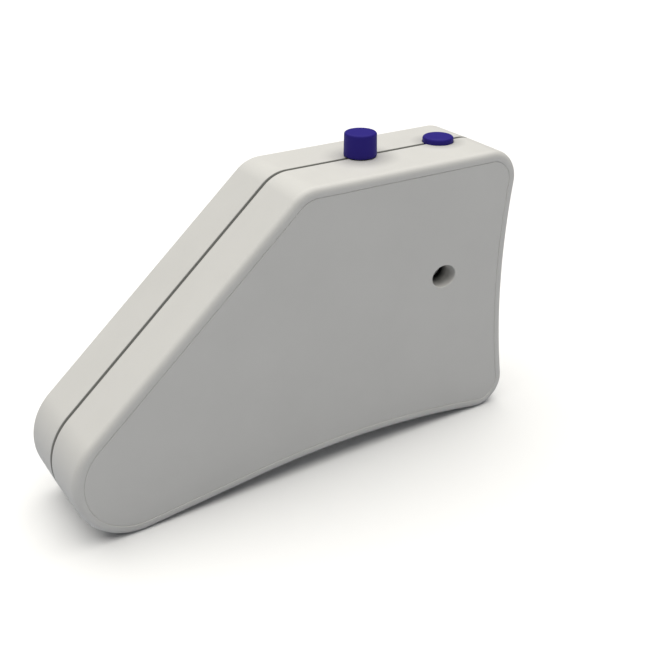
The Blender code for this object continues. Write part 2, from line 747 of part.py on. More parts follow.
def make_battery_cover(plastic):
    # Cut from the same outside as the far half, so that it lies flush with it all round
    sections = outer_sections(1)
    cover = node("battery_cover", loft([(ring(0), -KEEP_OUT)] + sections), plastic)
    keep(cover, cover_bed(-FIT, -FIT, COVER_INNER, HALF_DEPTH + OVERRUN))
    first = BAY_START - COVER_LEDGE
    last = BAY_START + BAY_LENGTH + COVER_LEDGE
    rail_top = BAY_FOOT + BAY_WIDTH + COVER_LEDGE - FIT * 2
    rail_near = COVER_INNER + FIT / 2
    rail_far = COVER_INNER + RAIL_HEIGHT
    rail_spans = (first - RAIL_REACH + FIT, first + OVERRUN), (last - OVERRUN, last + RAIL_REACH - FIT)
    join(cover, together([
        block((low, rail_near, RAIL_START), (high, rail_far, rail_top), BASE_FRAME)
        for low, high in rail_spans
    ]))
    rib_root = HALF_DEPTH - RECESS_DEPTH * 2
    rib_top = HALF_DEPTH - RECESS_DEPTH + GRIP_RIB_HEIGHT
    middle = BAY_START + BAY_LENGTH / 2
    highest = BAY_FOOT + BAY_WIDTH - GRIP_RIB_PITCH
    half = GRIP_RIB_LENGTH / 2
    for k in range(GRIP_RIB_COUNT):
        level = highest - k * GRIP_RIB_PITCH
        join(cover, block(
            (middle - half, rib_root, level), (middle + half, rib_top, level + GRIP_RIB_WIDTH), BASE_FRAME,
        ))
    return seat(cover)


def make_case_screws(steel):
    head_seat = COUNTERBORE_FLOOR + FIT
    head_top = head_seat + SCREW_HEAD_HEIGHT
    profile = [
        (0, SCREW_TIP), (SCREW_SHANK_RADIUS / 2, SCREW_TIP),
        (SCREW_SHANK_RADIUS, SCREW_TIP + SCREW_SHANK_RADIUS),
        (SCREW_SHANK_RADIUS, head_seat), (SCREW_HEAD_RADIUS, head_seat),
        (SCREW_HEAD_RADIUS, head_top - SCREW_HEAD_HEIGHT / 3),
        (SCREW_HEAD_RADIUS * 2 / 3, head_top), (0, head_top),
    ]
    pattern = node("pattern", turned(profile, (0, 0, 0), Vector((0, 1, 0)), ROUND_SMALL), steel)
    half = DRIVE_WIDTH / 2
    reach = DRIVE_REACH / 2
    floor = head_top - DRIVE_DEPTH
    roof = head_top + OVERRUN
    cut(
        pattern,
        block((-half, floor, -reach), (half, roof, reach)),
        block((-reach, floor, -half), (reach, roof, half)),
    )
    for number, (x, z) in enumerate(CASE_SCREWS, 1):
        screw = bpy.data.objects.new(f"case_screw_{number}", pattern.data)
        bpy.context.scene.collection.objects.link(screw)
        screw.location = (x, 0, z)
        screw.parent = case_frame
    pattern.data.shade_smooth()
    pattern.data.set_sharp_from_angle(angle=SHARP_ANGLE)
    bpy.data.objects.remove(pattern, do_unlink=True)


# Controls


def d_bar(radius, flat, start, end, facets):
    # A round bar along Z with a flat towards the far side
    bar = node("bar", rod(radius, (KNOB_X, 0, start), (KNOB_X, 0, end), facets))
    wide = radius + OVERRUN
    cut(bar, block((KNOB_X - wide, flat, start - OVERRUN), (KNOB_X + wide, wide, end + OVERRUN)))
    return taken(bar)


def make_level_control(blue, metal, resin):
    top = KNOB_HEIGHT
    foot = FIT
    profile = [
        (0, foot), (KNOB_BASE_RADIUS - KNOB_EDGE / 3, foot), (KNOB_BASE_RADIUS, foot + KNOB_EDGE / 2),
        (KNOB_TOP_RADIUS, top - KNOB_EDGE), (KNOB_TOP_RADIUS - KNOB_EDGE / 4, top - KNOB_EDGE / 3),
        (KNOB_TOP_RADIUS - KNOB_EDGE, top), (0, top),
    ]
    knob = node("level_knob", turned(profile, (KNOB_X, 0, 0), Vector((0, 0, 1)), ROUND_FINE), blue)
    shaft_top = top - KNOB_BORE_ROOF - FIT
    cut(knob, d_bar(SHAFT_RADIUS + FIT, SHAFT_FLAT + FIT, -OVERRUN, shaft_top + FIT, ROUND_MEDIUM))
    seat(knob, (KNOB_X, 0, 0))

    base_foot = CONTROL_BOARD_TOP + FIT
    body_foot = base_foot + POT_BASE_HEIGHT + FIT
    body_top = body_foot + POT_BODY_HEIGHT
    bushing_top = body_top + BUSHING_HEIGHT
    bore_floor = body_foot + POT_BORE_FLOOR
    half = POT_WIDTH / 2
    body = node(
        "level_pot_body", block((KNOB_X - half, -half, body_foot), (KNOB_X + half, half, body_top)), metal,
    )
    axis_at = (KNOB_X, 0)
    join(body, rod(BUSHING_RADIUS, (*axis_at, body_top - OVERRUN), (*axis_at, bushing_top), ROUND_MEDIUM))
    bore_top = bushing_top + OVERRUN
    cut(body, rod(SHAFT_RADIUS + FIT, (*axis_at, bore_floor), (*axis_at, bore_top), ROUND_MEDIUM))
    seat(body)

    base = node("level_pot_base", block((KNOB_X - half, -half, base_foot),
                                        (KNOB_X + half, half, base_foot + POT_BASE_HEIGHT)), resin)
    pin = PIN_WIDTH / 2
    join(base, together([
        block((x - pin, y - pin, CONTROL_BOARD_UNDER - LEAD_OUT_LENGTH), (x + pin, y + pin, base_foot + pin))
        for x, y in pot_pins()
    ]))
    seat(base)

    shaft_foot = bore_floor + FIT
    shaft = node(
        "level_pot_shaft",
        rod(SHAFT_RADIUS, (*axis_at, shaft_foot), (*axis_at, shaft_top), ROUND_MEDIUM), metal,
    )
    wide = SHAFT_RADIUS + OVERRUN
    cut(shaft, block((KNOB_X - wide, SHAFT_FLAT, shaft_top - SHAFT_FLAT_LENGTH),
                     (KNOB_X + wide, wide, shaft_top + OVERRUN)))
    seat(shaft, (KNOB_X, 0, 0))


def pot_pins():
    row = POT_WIDTH / 2 - PIN_WIDTH
    front_pins = [(KNOB_X + PIN_PITCH * k, -row) for k in (-1, 0, 1)]
    back_pins = [(KNOB_X + PIN_PITCH * k, row) for k in (-1, 1)]
    return front_pins + back_pins


def switch_legs():
    reach = SWITCH_WIDTH / 2 - SWITCH_LEG_WIDTH
    return [(BUTTON_X + a * reach, b * PIN_PITCH) for a in (-1, 1) for b in (-1, 1)]


def make_tone_control(blue, resin):
    top = BUTTON_HEIGHT
    under = -WALL - FIT
    flange_foot = under - BUTTON_FLANGE_HEIGHT
    stem_foot = flange_foot - BUTTON_STEM_LENGTH
    shares = [(0, 1.0), (0.45, 0.985), (0.75, 0.93), (0.91, 0.80), (0.975, 0.66), (1.0, 0.5)]
    profile = [(BUTTON_RADIUS * r, top * z) for r, z in shares]
    profile += [
        (BUTTON_RADIUS, under), (BUTTON_RADIUS + BUTTON_FLANGE_REACH, under),
        (BUTTON_RADIUS + BUTTON_FLANGE_REACH, flange_foot), (BUTTON_STEM_RADIUS, flange_foot),
        (BUTTON_STEM_RADIUS, stem_foot), (0, stem_foot),
    ]
    button = node("tone_button", turned(profile, (BUTTON_X, 0, 0), Vector((0, 0, 1)), ROUND_FINE), blue)
    half = PLUNGER_WIDTH / 2
    hole = half + FIT
    socket_roof = stem_foot + BUTTON_SOCKET_DEPTH
    cut(button, block((BUTTON_X - hole, -hole, stem_foot - OVERRUN), (BUTTON_X + hole, hole, socket_roof)))
    seat(button, (BUTTON_X, 0, 0))

    body_foot = CONTROL_BOARD_TOP + FIT
    body_top = body_foot + SWITCH_HEIGHT
    well_floor = body_top - SWITCH_WELL_DEPTH
    wide = SWITCH_WIDTH / 2
    body = node("tone_switch_body", block(
        (BUTTON_X - wide, -wide, body_foot), (BUTTON_X + wide, wide, body_top),
    ), resin)
    a, b = SWITCH_LEG_WIDTH / 2, SWITCH_LEG_THICKNESS / 2
    join(body, together([
        block((x - a, y - b, CONTROL_BOARD_UNDER - LEAD_OUT_LENGTH), (x + a, y + b, body_foot + a))
        for x, y in switch_legs()
    ]))
    cut(body, block((BUTTON_X - hole, -hole, well_floor), (BUTTON_X + hole, hole, body_top + OVERRUN)))
    seat(body)

    plunger = node(
        "tone_switch_plunger",
        block((BUTTON_X - half, -half, well_floor + BUTTON_TRAVEL + FIT),
              (BUTTON_X + half, half, socket_roof - FIT)),
        resin,
    )
    seat(plunger, (BUTTON_X, 0, 0))


# Circuit boards and what is soldered to them


def board_shape(low, high, thickness_axis):
    # A flat board with rounded corners: its plane is X-Z when thickness runs along Y, else X-Y
    (u0, v0, t0), (u1, v1, t1) = low, high
    corners = [(u1, v1, 0), (u0, v1, 1), (u0, v0, 2), (u1, v0, 3)]
    points = []
    for u, v, quarter in corners:
        centre = Vector((u, v)) - Vector((math.copysign(BOARD_CORNER, u - (u0 + u1) / 2),
                                          math.copysign(BOARD_CORNER, v - (v0 + v1) / 2)))
        for step in range(CORNER_STEPS + 1):
            points.append(centre + along(math.pi / 2 * (quarter + step / CORNER_STEPS), BOARD_CORNER))
    shape = loft([(points, t0), (points, t1)])
    if thickness_axis == "Z":
        shape.transform(Matrix(((1, 0, 0, 0), (0, 0, 1, 0), (0, 1, 0, 0), (0, 0, 0, 1))))
        bmesh.ops.recalc_face_normals(shape, faces=shape.faces)
    return shape


def header_pins():
    middle = (CONTROL_BOARD_X[0] + CONTROL_BOARD_X[1]) / 2
    return [middle + HEADER_PITCH * (k - (HEADER_PINS - 1) / 2) for k in range(HEADER_PINS)]


def make_boards(green, resin, steel):
    low_x, high_x = CONTROL_BOARD_X
    control = node("control_board", board_shape(
        (low_x, CONTROL_BOARD_NEAR, CONTROL_BOARD_UNDER), (high_x, CONTROL_BOARD_FAR, CONTROL_BOARD_TOP), "Z",
    ), green)
    deep = CONTROL_BOARD_UNDER - OVERRUN
    high = CONTROL_BOARD_TOP + OVERRUN
    hole = PIN_HOLE_RADIUS
    places = pot_pins() + switch_legs() + [(x, HEADER_ROW) for x in header_pins()]
    cut(control, together([rod(hole, (x, y, deep), (x, y, high), ROUND_HOLE) for x, y in places]))
    seat(control)

    main = node("main_board", board_shape(
        (MAIN_BOARD_X[0], MAIN_BOARD_Z[0], MAIN_BOARD_NEAR),
        (MAIN_BOARD_X[1], MAIN_BOARD_Z[1], MAIN_BOARD_FAR), "Y",
    ), green)
    near = MAIN_BOARD_NEAR - OVERRUN
    far = MAIN_BOARD_FAR + OVERRUN
    screw_hole = BOARD_SCREW_RADIUS + FIT
    cut(main, together(
        [rod(hole, (x, near, HEADER_DROP), (x, far, HEADER_DROP), ROUND_HOLE) for x in header_pins()]
        + [rod(screw_hole, (x, near, z), (x, far, z), ROUND_TINY) for x, z in board_screw_places()]
    ))
    seat(main)

    half = HEADER_PIN / 2
    strip_top = CONTROL_BOARD_UNDER - FIT
    first, last = header_pins()[0], header_pins()[-1]
    header = node("board_header", block(
        (first - HEADER_PITCH / 2, HEADER_ROW - HEADER_WIDTH / 2, strip_top - HEADER_WIDTH),
        (last + HEADER_PITCH / 2, HEADER_ROW + HEADER_WIDTH / 2, strip_top),
    ), resin)
    risers = [
        block((x - half, HEADER_ROW - half, HEADER_DROP - half),
              (x + half, HEADER_ROW + half, CONTROL_BOARD_TOP + half))
        for x in header_pins()
    ]
    reaches = [
        block((x - half, HEADER_ROW, HEADER_DROP - half),
              (x + half, MAIN_BOARD_FAR + LEAD_OUT_LENGTH, HEADER_DROP + half))
        for x in header_pins()
    ]
    join(header, together(risers), together(reaches))
    seat(header)

    head_seat = MAIN_BOARD_NEAR - FIT
    head_top = head_seat - BOARD_SCREW_HEAD_HEIGHT
    profile = screw_profile(
        BOARD_SCREW_RADIUS, BOARD_SCREW_HEAD_RADIUS, head_top, head_seat, head_seat + BOARD_SCREW_LENGTH
    )
    for number, (x, z) in enumerate(board_screw_places(), 1):
        place_screw(f"main_board_screw_{number}", profile, (x, 0, z), steel)


def screw_profile(radius, head_radius, head_top, head_seat, tip):
    # Half section of a small pan head screw along Y, from its head to its tip
    head = head_seat - head_top
    point = tip - math.copysign(radius, tip - head_seat)
    return [
        (0, head_top), (head_radius * 2 / 3, head_top), (head_radius, head_top + head / 2),
        (head_radius, head_seat), (radius, head_seat), (radius, point), (radius / 2, tip), (0, tip),
    ]


def place_screw(name, profile, place, steel):
    seat(node(name, turned(profile, place, Vector((0, 1, 0)), ROUND_TINY), steel))


def on_board(place, size, height, lift=0.0):
    # A block on the near face of the main board, from its own centre and size
    (x, z), (wide, tall) = place, size
    top = MAIN_BOARD_NEAR - FIT - lift
    return block((x - wide / 2, top - height, z - tall / 2), (x + wide / 2, top, z + tall / 2))


def make_chip(name, place, size, rows, resin):
    # A chip with gull-wing legs along its upright sides, and along its level sides where rows says so
    chip = node(name, on_board(place, size, CHIP_HEIGHT, CHIP_LEG_THICKNESS), resin)
    (x, z), (wide, tall) = place, size
    foot = MAIN_BOARD_NEAR - FIT
    half = CHIP_LEG_WIDTH / 2
    legs = []
    for side in (-1, 1):
        for k in range(rows[0]):
            level = z + tall * ((k + 1) / (rows[0] + 1) - 0.5)
            inner = x + side * (wide / 2 - CHIP_LEG_REACH)
            outer = x + side * (wide / 2 + CHIP_LEG_REACH)
            legs.append(block(
                (min(inner, outer), foot - CHIP_LEG_THICKNESS * 2, level - half),
                (max(inner, outer), foot, level + half),
            ))
        for k in range(rows[1]):
            level = x + wide * ((k + 1) / (rows[1] + 1) - 0.5)
            inner = z + side * (tall / 2 - CHIP_LEG_REACH)
            outer = z + side * (tall / 2 + CHIP_LEG_REACH)
            legs.append(block(
                (level - half, foot - CHIP_LEG_THICKNESS * 2, min(inner, outer)),
                (level + half, foot, max(inner, outer)),
            ))
    join(chip, together(legs))
    seat(chip)


def make_board_parts(resin, metal, sleeve, cream):
    make_chip("processor_chip", PROCESSOR_PLACE, PROCESSOR_SIZE, (4, 4), resin)
    make_chip("amplifier_chip", AMPLIFIER_PLACE, AMPLIFIER_SIZE, (0, 4), resin)
    seat(node("crystal", on_board(CRYSTAL_PLACE, CRYSTAL_SIZE, CRYSTAL_HEIGHT), metal))
    foot = MAIN_BOARD_NEAR - FIT
    groove = CAPACITOR_RADIUS - CAPACITOR_RADIUS / 8
    profile = [
        (0, 0), (CAPACITOR_RADIUS, 0), (CAPACITOR_RADIUS, -CAPACITOR_HEIGHT / 5),
        (groove, -CAPACITOR_HEIGHT / 4), (CAPACITOR_RADIUS, -CAPACITOR_HEIGHT / 3),
        (CAPACITOR_RADIUS, -CAPACITOR_HEIGHT), (0, -CAPACITOR_HEIGHT),
    ]
    for number, (x, z) in enumerate(CAPACITOR_PLACES, 1):
        shape = turned(profile, (x, foot, z), Vector((0, 1, 0)), ROUND_SMALL)
        seat(node(f"capacitor_{number}", shape, sleeve))
    for name, (x, z) in (("battery_socket", BATTERY_SOCKET), ("receiver_socket", RECEIVER_SOCKET)):
        wide, tall, height = SOCKET_SIZE
        socket = node(name, on_board((x, z), (wide, tall), height), cream)
        top = foot - height
        cut(socket, block(
            (x - wide / 2 + SOCKET_WALL, top - OVERRUN, z - tall / 2 + SOCKET_WALL),
            (x + wide / 2 - SOCKET_WALL, top + SOCKET_WELL, z + tall / 2 - SOCKET_WALL),
        ))
        seat(socket)


# Receiver: the sound source behind the port, turned about the port's axis


def port_turned(name, profile, facets, material, closed=False):
    return node(name, turned(profile, (PORT_X, 0, PORT_Z), Vector((0, 1, 0)), facets, closed), material)


def tab_points():
    # Where the two leads meet the back of the frame's solder tab
    middle = (TAB_REACH[0] + TAB_REACH[1]) / 2
    outward, across = along(TAB_ANGLE, middle), along(TAB_ANGLE + math.pi / 2, LEAD_PITCH / 2)
    return [
        Vector((PORT_X + outward.x + side * across.x, TAB_DEPTH[1], PORT_Z + outward.y + side * across.y))
        for side in (-1, 1)
    ]


def make_receiver(black, cloth, steel, paper, copper, foam, screw_steel):
    mesh_near = PORT_TUBE_END + FIT
    mesh_far = mesh_near + MESH_THICKNESS
    seat(port_turned("port_mesh", [
        (0, mesh_near), (PORT_FLANGE_RADIUS, mesh_near), (PORT_FLANGE_RADIUS, mesh_far), (0, mesh_far),
    ], ROUND_MEDIUM, cloth))
    gasket_near = mesh_far + FIT
    gasket_far = gasket_near + GASKET_THICKNESS
    seat(port_turned("port_gasket", [
        (GASKET_HOLE_RADIUS, gasket_near), (PORT_FLANGE_RADIUS, gasket_near),
        (PORT_FLANGE_RADIUS, gasket_far), (GASKET_HOLE_RADIUS, gasket_far),
    ], ROUND_MEDIUM, foam, closed=True))

    # The frame: a rim, a front plate with a hole at the port, a sloped basket and a back ring
    rim_in = RECEIVER_RADIUS - RECEIVER_RIM_WIDTH
    front = RECEIVER_FRONT
    rim_back = RECEIVER_BACK_OF_RIM
    back = RECEIVER_BACK
    neck = MAGNET_RADIUS
    shoulder = rim_back + BASKET_WALL
    hub = COIL_RADIUS + COIL_GAP
    frame = port_turned("receiver_frame", [
        (GASKET_HOLE_RADIUS, front), (RECEIVER_RADIUS, front), (RECEIVER_RADIUS, rim_back),
        (rim_in + BASKET_WALL, rim_back), (rim_in + BASKET_WALL, shoulder), (neck, back),
        (hub, back), (hub, back - BASKET_WALL), (neck - BASKET_WALL / 3, back - BASKET_WALL),
        (rim_in, shoulder - BASKET_WALL / 2), (rim_in, front + BASKET_WALL),
        (GASKET_HOLE_RADIUS, front + BASKET_WALL),
    ], ROUND_FINE, black, closed=True)
    window_near = rim_back + BASKET_WALL * 3 / 4
    window_far = back - BASKET_WALL * 3 / 2
    half = neck / 2
    for k in range(BASKET_WINDOWS):
        turn = Matrix.Translation((PORT_X, 0, PORT_Z)) @ Matrix.Rotation(TURN * k / BASKET_WINDOWS, 4, "Y")
        cut(frame, block((neck, window_near, -half), (RECEIVER_RADIUS, window_far, half), turn))
    tab_frame = Matrix.Translation((PORT_X, 0, PORT_Z)) @ Matrix.Rotation(-TAB_ANGLE, 4, "Y")
    tab_foot, tab_top = TAB_DEPTH
    tab_start, tab_end = TAB_REACH
    join(frame, block((tab_start, tab_foot, -TAB_HALF_WIDTH), (tab_end, tab_top, TAB_HALF_WIDTH), tab_frame))
    cut(frame, together([
        rod(LEAD_RADIUS + FIT, p + Vector((0, -LEAD_HOLE_DEPTH, 0)), p + Vector((0, OVERRUN, 0)), ROUND_TINY)
        for p in tab_points()
    ]))
    seat(frame)

    # The cone hangs between the rim and the coil, clear of both
    edge = rim_in - FIT
    plane = front + BASKET_WALL + FIT
    cone_face = [
        (0, plane + CONE_DEPTH / 3), (COIL_RADIUS, plane + CONE_DEPTH / 2),
        (CONE_MIDDLE_RADIUS, plane + CONE_RISE), (edge, plane),
    ]
    cone_back = [(radius, depth + CONE_THICKNESS) for radius, depth in reversed(cone_face)]
    seat(port_turned("receiver_cone", cone_face + cone_back, ROUND_MEDIUM, paper))
    coil_near = plane + CONE_DEPTH / 2 + CONE_THICKNESS + FIT
    coil_out = COIL_RADIUS + COIL_WALL
    magnet_near = back + FIT
    coil_far = magnet_near + COIL_DIP
    seat(port_turned("receiver_coil", [
        (COIL_RADIUS, coil_near), (coil_out, coil_near), (coil_out, coil_far), (COIL_RADIUS, coil_far),
    ], ROUND_MEDIUM, copper, closed=True))
    pole = COIL_RADIUS - FIT
    slot = coil_out + FIT
    floor = coil_far + FIT
    magnet_far = magnet_near + MAGNET_HEIGHT
    seat(port_turned("receiver_magnet", [
        (0, magnet_near), (pole, magnet_near), (pole, floor), (slot, floor), (slot, magnet_near),
        (MAGNET_RADIUS, magnet_near), (MAGNET_RADIUS, magnet_far), (0, magnet_far),
    ], ROUND_MEDIUM, steel))

    clamp_near = rim_back + FIT
    clamp_far = clamp_near + CLAMP_THICKNESS
    hole = rim_in + BASKET_WALL + FIT
    outer = RECEIVER_RADIUS + FIT + SEAT_WALL
    clamp = port_turned("receiver_clamp", [
        (hole, clamp_near), (outer, clamp_near), (outer, clamp_far), (hole, clamp_far),
    ], ROUND_FINE, black, closed=True)
    bore = BOARD_SCREW_RADIUS + FIT
    for p in bolt_places():
        join(clamp, rod(CLAMP_BOSS_RADIUS, (p.x, clamp_near + CLAMP_EAR_STEP, p.z),
                        (p.x, clamp_far - CLAMP_EAR_STEP, p.z), ROUND_SMALL))
        cut(clamp, rod(bore, (p.x, clamp_near - OVERRUN, p.z), (p.x, clamp_far + OVERRUN, p.z), ROUND_TINY))
    seat(clamp)
    head_seat = clamp_far + FIT
    head_top = head_seat + BOARD_SCREW_HEAD_HEIGHT
    tip = head_seat - CLAMP_SCREW_LENGTH
    profile = screw_profile(BOARD_SCREW_RADIUS, BOARD_SCREW_HEAD_RADIUS, head_top, head_seat, tip)
    for number, p in enumerate(bolt_places(), 1):
        place_screw(f"clamp_screw_{number}", profile, p, screw_steel)


# Battery, its snap and the leads


def make_battery(can, resin):
    start = BAY_START + FIT
    end = start + BATTERY_LENGTH
    low = BAY_FLOOR + FIT
    high = low + BATTERY_THICKNESS
    middle = BAY_FOOT + BAY_WIDTH / 2
    half = BAY_WIDTH / 2 - FIT * 2
    corners = [(high, middle + half), (low, middle + half), (low, middle - half), (high, middle - half)]
    points = []
    for quarter, (y, v) in enumerate(corners):
        centre = Vector((y, v)) - Vector((math.copysign(BATTERY_CORNER, y - (low + high) / 2),
                                          math.copysign(BATTERY_CORNER, v - middle)))
        for step in range(CORNER_STEPS + 1):
            points.append(centre + along(math.pi / 2 * (quarter + step / CORNER_STEPS), BATTERY_CORNER))
    prism = loft([(points, start), (points, end)])
    # The loft runs along Y with its points in X-Z: here they are turned into Y-Z, running along X
    prism.transform(BASE_FRAME @ Matrix(((0, 1, 0, 0), (1, 0, 0, 0), (0, 0, 1, 0), (0, 0, 0, 1))))
    bmesh.ops.recalc_face_normals(prism, faces=prism.faces)
    battery = node("battery", prism, can)
    level = (low + high) / 2
    posts = [(level, middle + side * TERMINAL_SPACING / 2) for side in (-1, 1)]

    def post(radius, first, last, y, v):
        return rod(radius, BASE_FRAME @ Vector((first, y, v)), BASE_FRAME @ Vector((last, y, v)), ROUND_SMALL)

    top = end + TERMINAL_HEIGHT
    join(battery, together([post(TERMINAL_RADIUS, end - OVERRUN, top, y, v) for y, v in posts]))
    seat(battery)

    plate_start = top + FIT
    plate_end = plate_start + SNAP_THICKNESS
    snap = node("battery_snap", block(
        (plate_start, level - SNAP_DEPTH / 2, middle - SNAP_WIDTH / 2),
        (plate_end, level + SNAP_DEPTH / 2, middle + SNAP_WIDTH / 2), BASE_FRAME,
    ), resin)
    inner = TERMINAL_RADIUS + FIT
    join(snap, together([
        post(inner + SNAP_COLLAR_WALL, end + FIT, plate_start + SNAP_THICKNESS / 2, y, v) for y, v in posts
    ]))
    cut(snap, together([post(inner, end, plate_start, y, v) for y, v in posts]))
    holes = [(level, middle + side * LEAD_PITCH / 2) for side in (-1, 1)]
    cut(snap, together([
        post(LEAD_RADIUS + FIT, plate_end - LEAD_HOLE_DEPTH, plate_end + OVERRUN, y, v) for y, v in holes
    ]))
    seat(snap)
    return [BASE_FRAME @ Vector((plate_end - LEAD_HOLE_DEPTH / 2, y, v)) for y, v in holes]


def route(stations):
    # Points along a smooth line through stations, each a place and the heading there
    points = []
    for (start, leaving), (end, arriving) in zip(stations, stations[1:]):
        count = max(2, round((end - start).length / LEAD_STEP))
        for k in range(count):
            t = k / count
            points.append(
                start * (2 * t ** 3 - 3 * t ** 2 + 1) + leaving * (t ** 3 - 2 * t ** 2 + t)
                + end * (3 * t ** 2 - 2 * t ** 3) + arriving * (t ** 3 - t ** 2)
            )
    points.append(stations[-1][0])
    return points


def make_lead(name, stations, sleeve):
    line = bpy.data.curves.new(name, "CURVE")
    line.dimensions = "3D"
    line.bevel_depth = LEAD_RADIUS
    line.bevel_resolution = 2
    line.use_fill_caps = True
    points = route(stations)
    spline = line.splines.new("POLY")
    spline.points.add(len(points) - 1)
    for held, point in zip(spline.points, points):
        held.co = (*point, 1.0)
    line.materials.append(sleeve)
    lead = bpy.data.objects.new(name, line)
    bpy.context.scene.collection.objects.link(lead)
    lead.parent = case_frame


def socket_end(place, side):
    # Where a lead ends in the well of a socket
    x, z = place
    well = MAIN_BOARD_NEAR - FIT - SOCKET_SIZE[2] + SOCKET_WELL
    return Vector((x, well - FIT, z + side * LEAD_PITCH / 2))


def make_leads(snap_ends, red, black):
    ahead = Vector((*along(BASE_ANGLE), 0)).xzy
    inward = Vector((0, 1, 0))
    notch = BAY_START + BAY_LENGTH + BAY_WALL / 2
    middle = BAY_FOOT + BAY_WIDTH / 2
    pairs = [("red", red, -1), ("black", black, 1)]
    for snap_end, (colour, sleeve, side) in zip(snap_ends, pairs):
        through = BASE_FRAME @ Vector((
            notch, BAY_NOTCH_FLOOR + BAY_NOTCH_WIDTH / 2, middle + side * LEAD_PITCH / 2,
        ))
        make_lead(f"battery_lead_{colour}", [
            (snap_end, ahead * LEAD_BOW / 2), (through, (ahead - inward / 2) * LEAD_BOW / 2),
            (socket_end(BATTERY_SOCKET, side), inward * LEAD_DROP),
        ], sleeve)
    for tab_point, (colour, sleeve, side) in zip(tab_points(), pairs):
        start = tab_point - inward * LEAD_HOLE_DEPTH / 2
        make_lead(f"receiver_lead_{colour}", [
            (start, inward * LEAD_BOW), (socket_end(RECEIVER_SOCKET, -side), inward * LEAD_DROP),
        ], sleeve)


# The whole device

for thing in list(bpy.data.objects):
    bpy.data.objects.remove(thing, do_unlink=True)

shell_plastic = coat("shell_plastic", (0.74, 0.73, 0.67), 0.45)
blue_plastic = coat("blue_plastic", (0.041, 0.030, 0.242), 0.35)
black_resin = coat("black_resin", (0.020, 0.020, 0.022), 0.50)
cream_resin = coat("cream_resin", (0.72, 0.68, 0.55), 0.50)
board_green = coat("board_green", (0.020, 0.130, 0.060), 0.40)
zinc_steel = coat("zinc_steel", (0.56, 0.57, 0.58), 0.35, 1.0)
bright_metal = coat("bright_metal", (0.66, 0.66, 0.65), 0.30, 1.0)
magnet_steel = coat("magnet_steel", (0.36, 0.37, 0.39), 0.45, 1.0)
copper_wire = coat("copper_wire", (0.72, 0.32, 0.18), 0.35, 1.0)
battery_can = coat("battery_can", (0.10, 0.11, 0.13), 0.35)
capacitor_sleeve = coat("capacitor_sleeve", (0.030, 0.035, 0.060), 0.40)
cone_paper = coat("cone_paper", (0.09, 0.085, 0.08), 0.80)
port_cloth = coat("port_cloth", (0.015, 0.015, 0.016), 0.85)
soft_foam = coat("soft_foam", (0.05, 0.05, 0.055), 0.90)
red_sleeve = coat("red_sleeve", (0.55, 0.02, 0.02), 0.45)
black_sleeve = coat("black_sleeve", (0.015, 0.015, 0.016), 0.45)

case_frame = standing_frame()
make_near_shell(shell_plastic)
make_far_shell(shell_plastic)
make_battery_cover(shell_plastic)
make_case_screws(zinc_steel)
make_level_control(blue_plastic, bright_metal, black_resin)
make_tone_control(blue_plastic, black_resin)
make_boards(board_green, black_resin, zinc_steel)
make_board_parts(black_resin, bright_metal, capacitor_sleeve, cream_resin)
make_receiver(black_resin, port_cloth, magnet_steel, cone_paper, copper_wire, soft_foam, zinc_steel)
ends = make_battery(battery_can, black_resin)
make_leads(ends, red_sleeve, black_sleeve)
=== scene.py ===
import json
import math

import bmesh
import bpy
from mathutils import Matrix, Vector


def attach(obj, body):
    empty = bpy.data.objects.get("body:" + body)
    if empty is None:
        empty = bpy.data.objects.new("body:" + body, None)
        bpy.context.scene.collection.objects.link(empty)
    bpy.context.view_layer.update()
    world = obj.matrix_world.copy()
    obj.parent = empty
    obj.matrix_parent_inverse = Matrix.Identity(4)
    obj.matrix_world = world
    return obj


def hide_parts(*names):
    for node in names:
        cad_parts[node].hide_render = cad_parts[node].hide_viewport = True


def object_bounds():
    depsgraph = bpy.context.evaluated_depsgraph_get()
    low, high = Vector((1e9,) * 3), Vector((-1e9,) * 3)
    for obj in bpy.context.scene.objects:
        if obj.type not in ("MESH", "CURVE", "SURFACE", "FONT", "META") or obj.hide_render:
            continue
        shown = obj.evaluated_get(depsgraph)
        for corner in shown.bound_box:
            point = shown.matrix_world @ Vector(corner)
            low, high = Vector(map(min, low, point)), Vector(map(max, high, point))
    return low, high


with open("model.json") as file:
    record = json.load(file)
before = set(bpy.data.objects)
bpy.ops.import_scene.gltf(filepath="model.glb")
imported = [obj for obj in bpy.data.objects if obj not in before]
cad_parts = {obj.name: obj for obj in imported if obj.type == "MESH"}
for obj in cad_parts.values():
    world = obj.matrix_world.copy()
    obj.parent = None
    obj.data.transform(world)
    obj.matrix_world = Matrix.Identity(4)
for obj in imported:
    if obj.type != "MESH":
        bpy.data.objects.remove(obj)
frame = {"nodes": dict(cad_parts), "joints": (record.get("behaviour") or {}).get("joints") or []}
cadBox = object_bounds()
print("frame loaded:", len(frame["nodes"]), "nodes")

mm = 0.001
turn = 2 * math.pi
quarter = math.pi / 2
roundness = {    # how many sides each kind of round form gets
    "control": 112,
    "ringWall": 96,
    "port": 72,
    "shaft": 60,
    "screw": 48,
    "pillar": 36,
    "post": 32,
    "farScrewHole": 28,
    "nearScrewHole": 24,
    "pilot": 20,
}

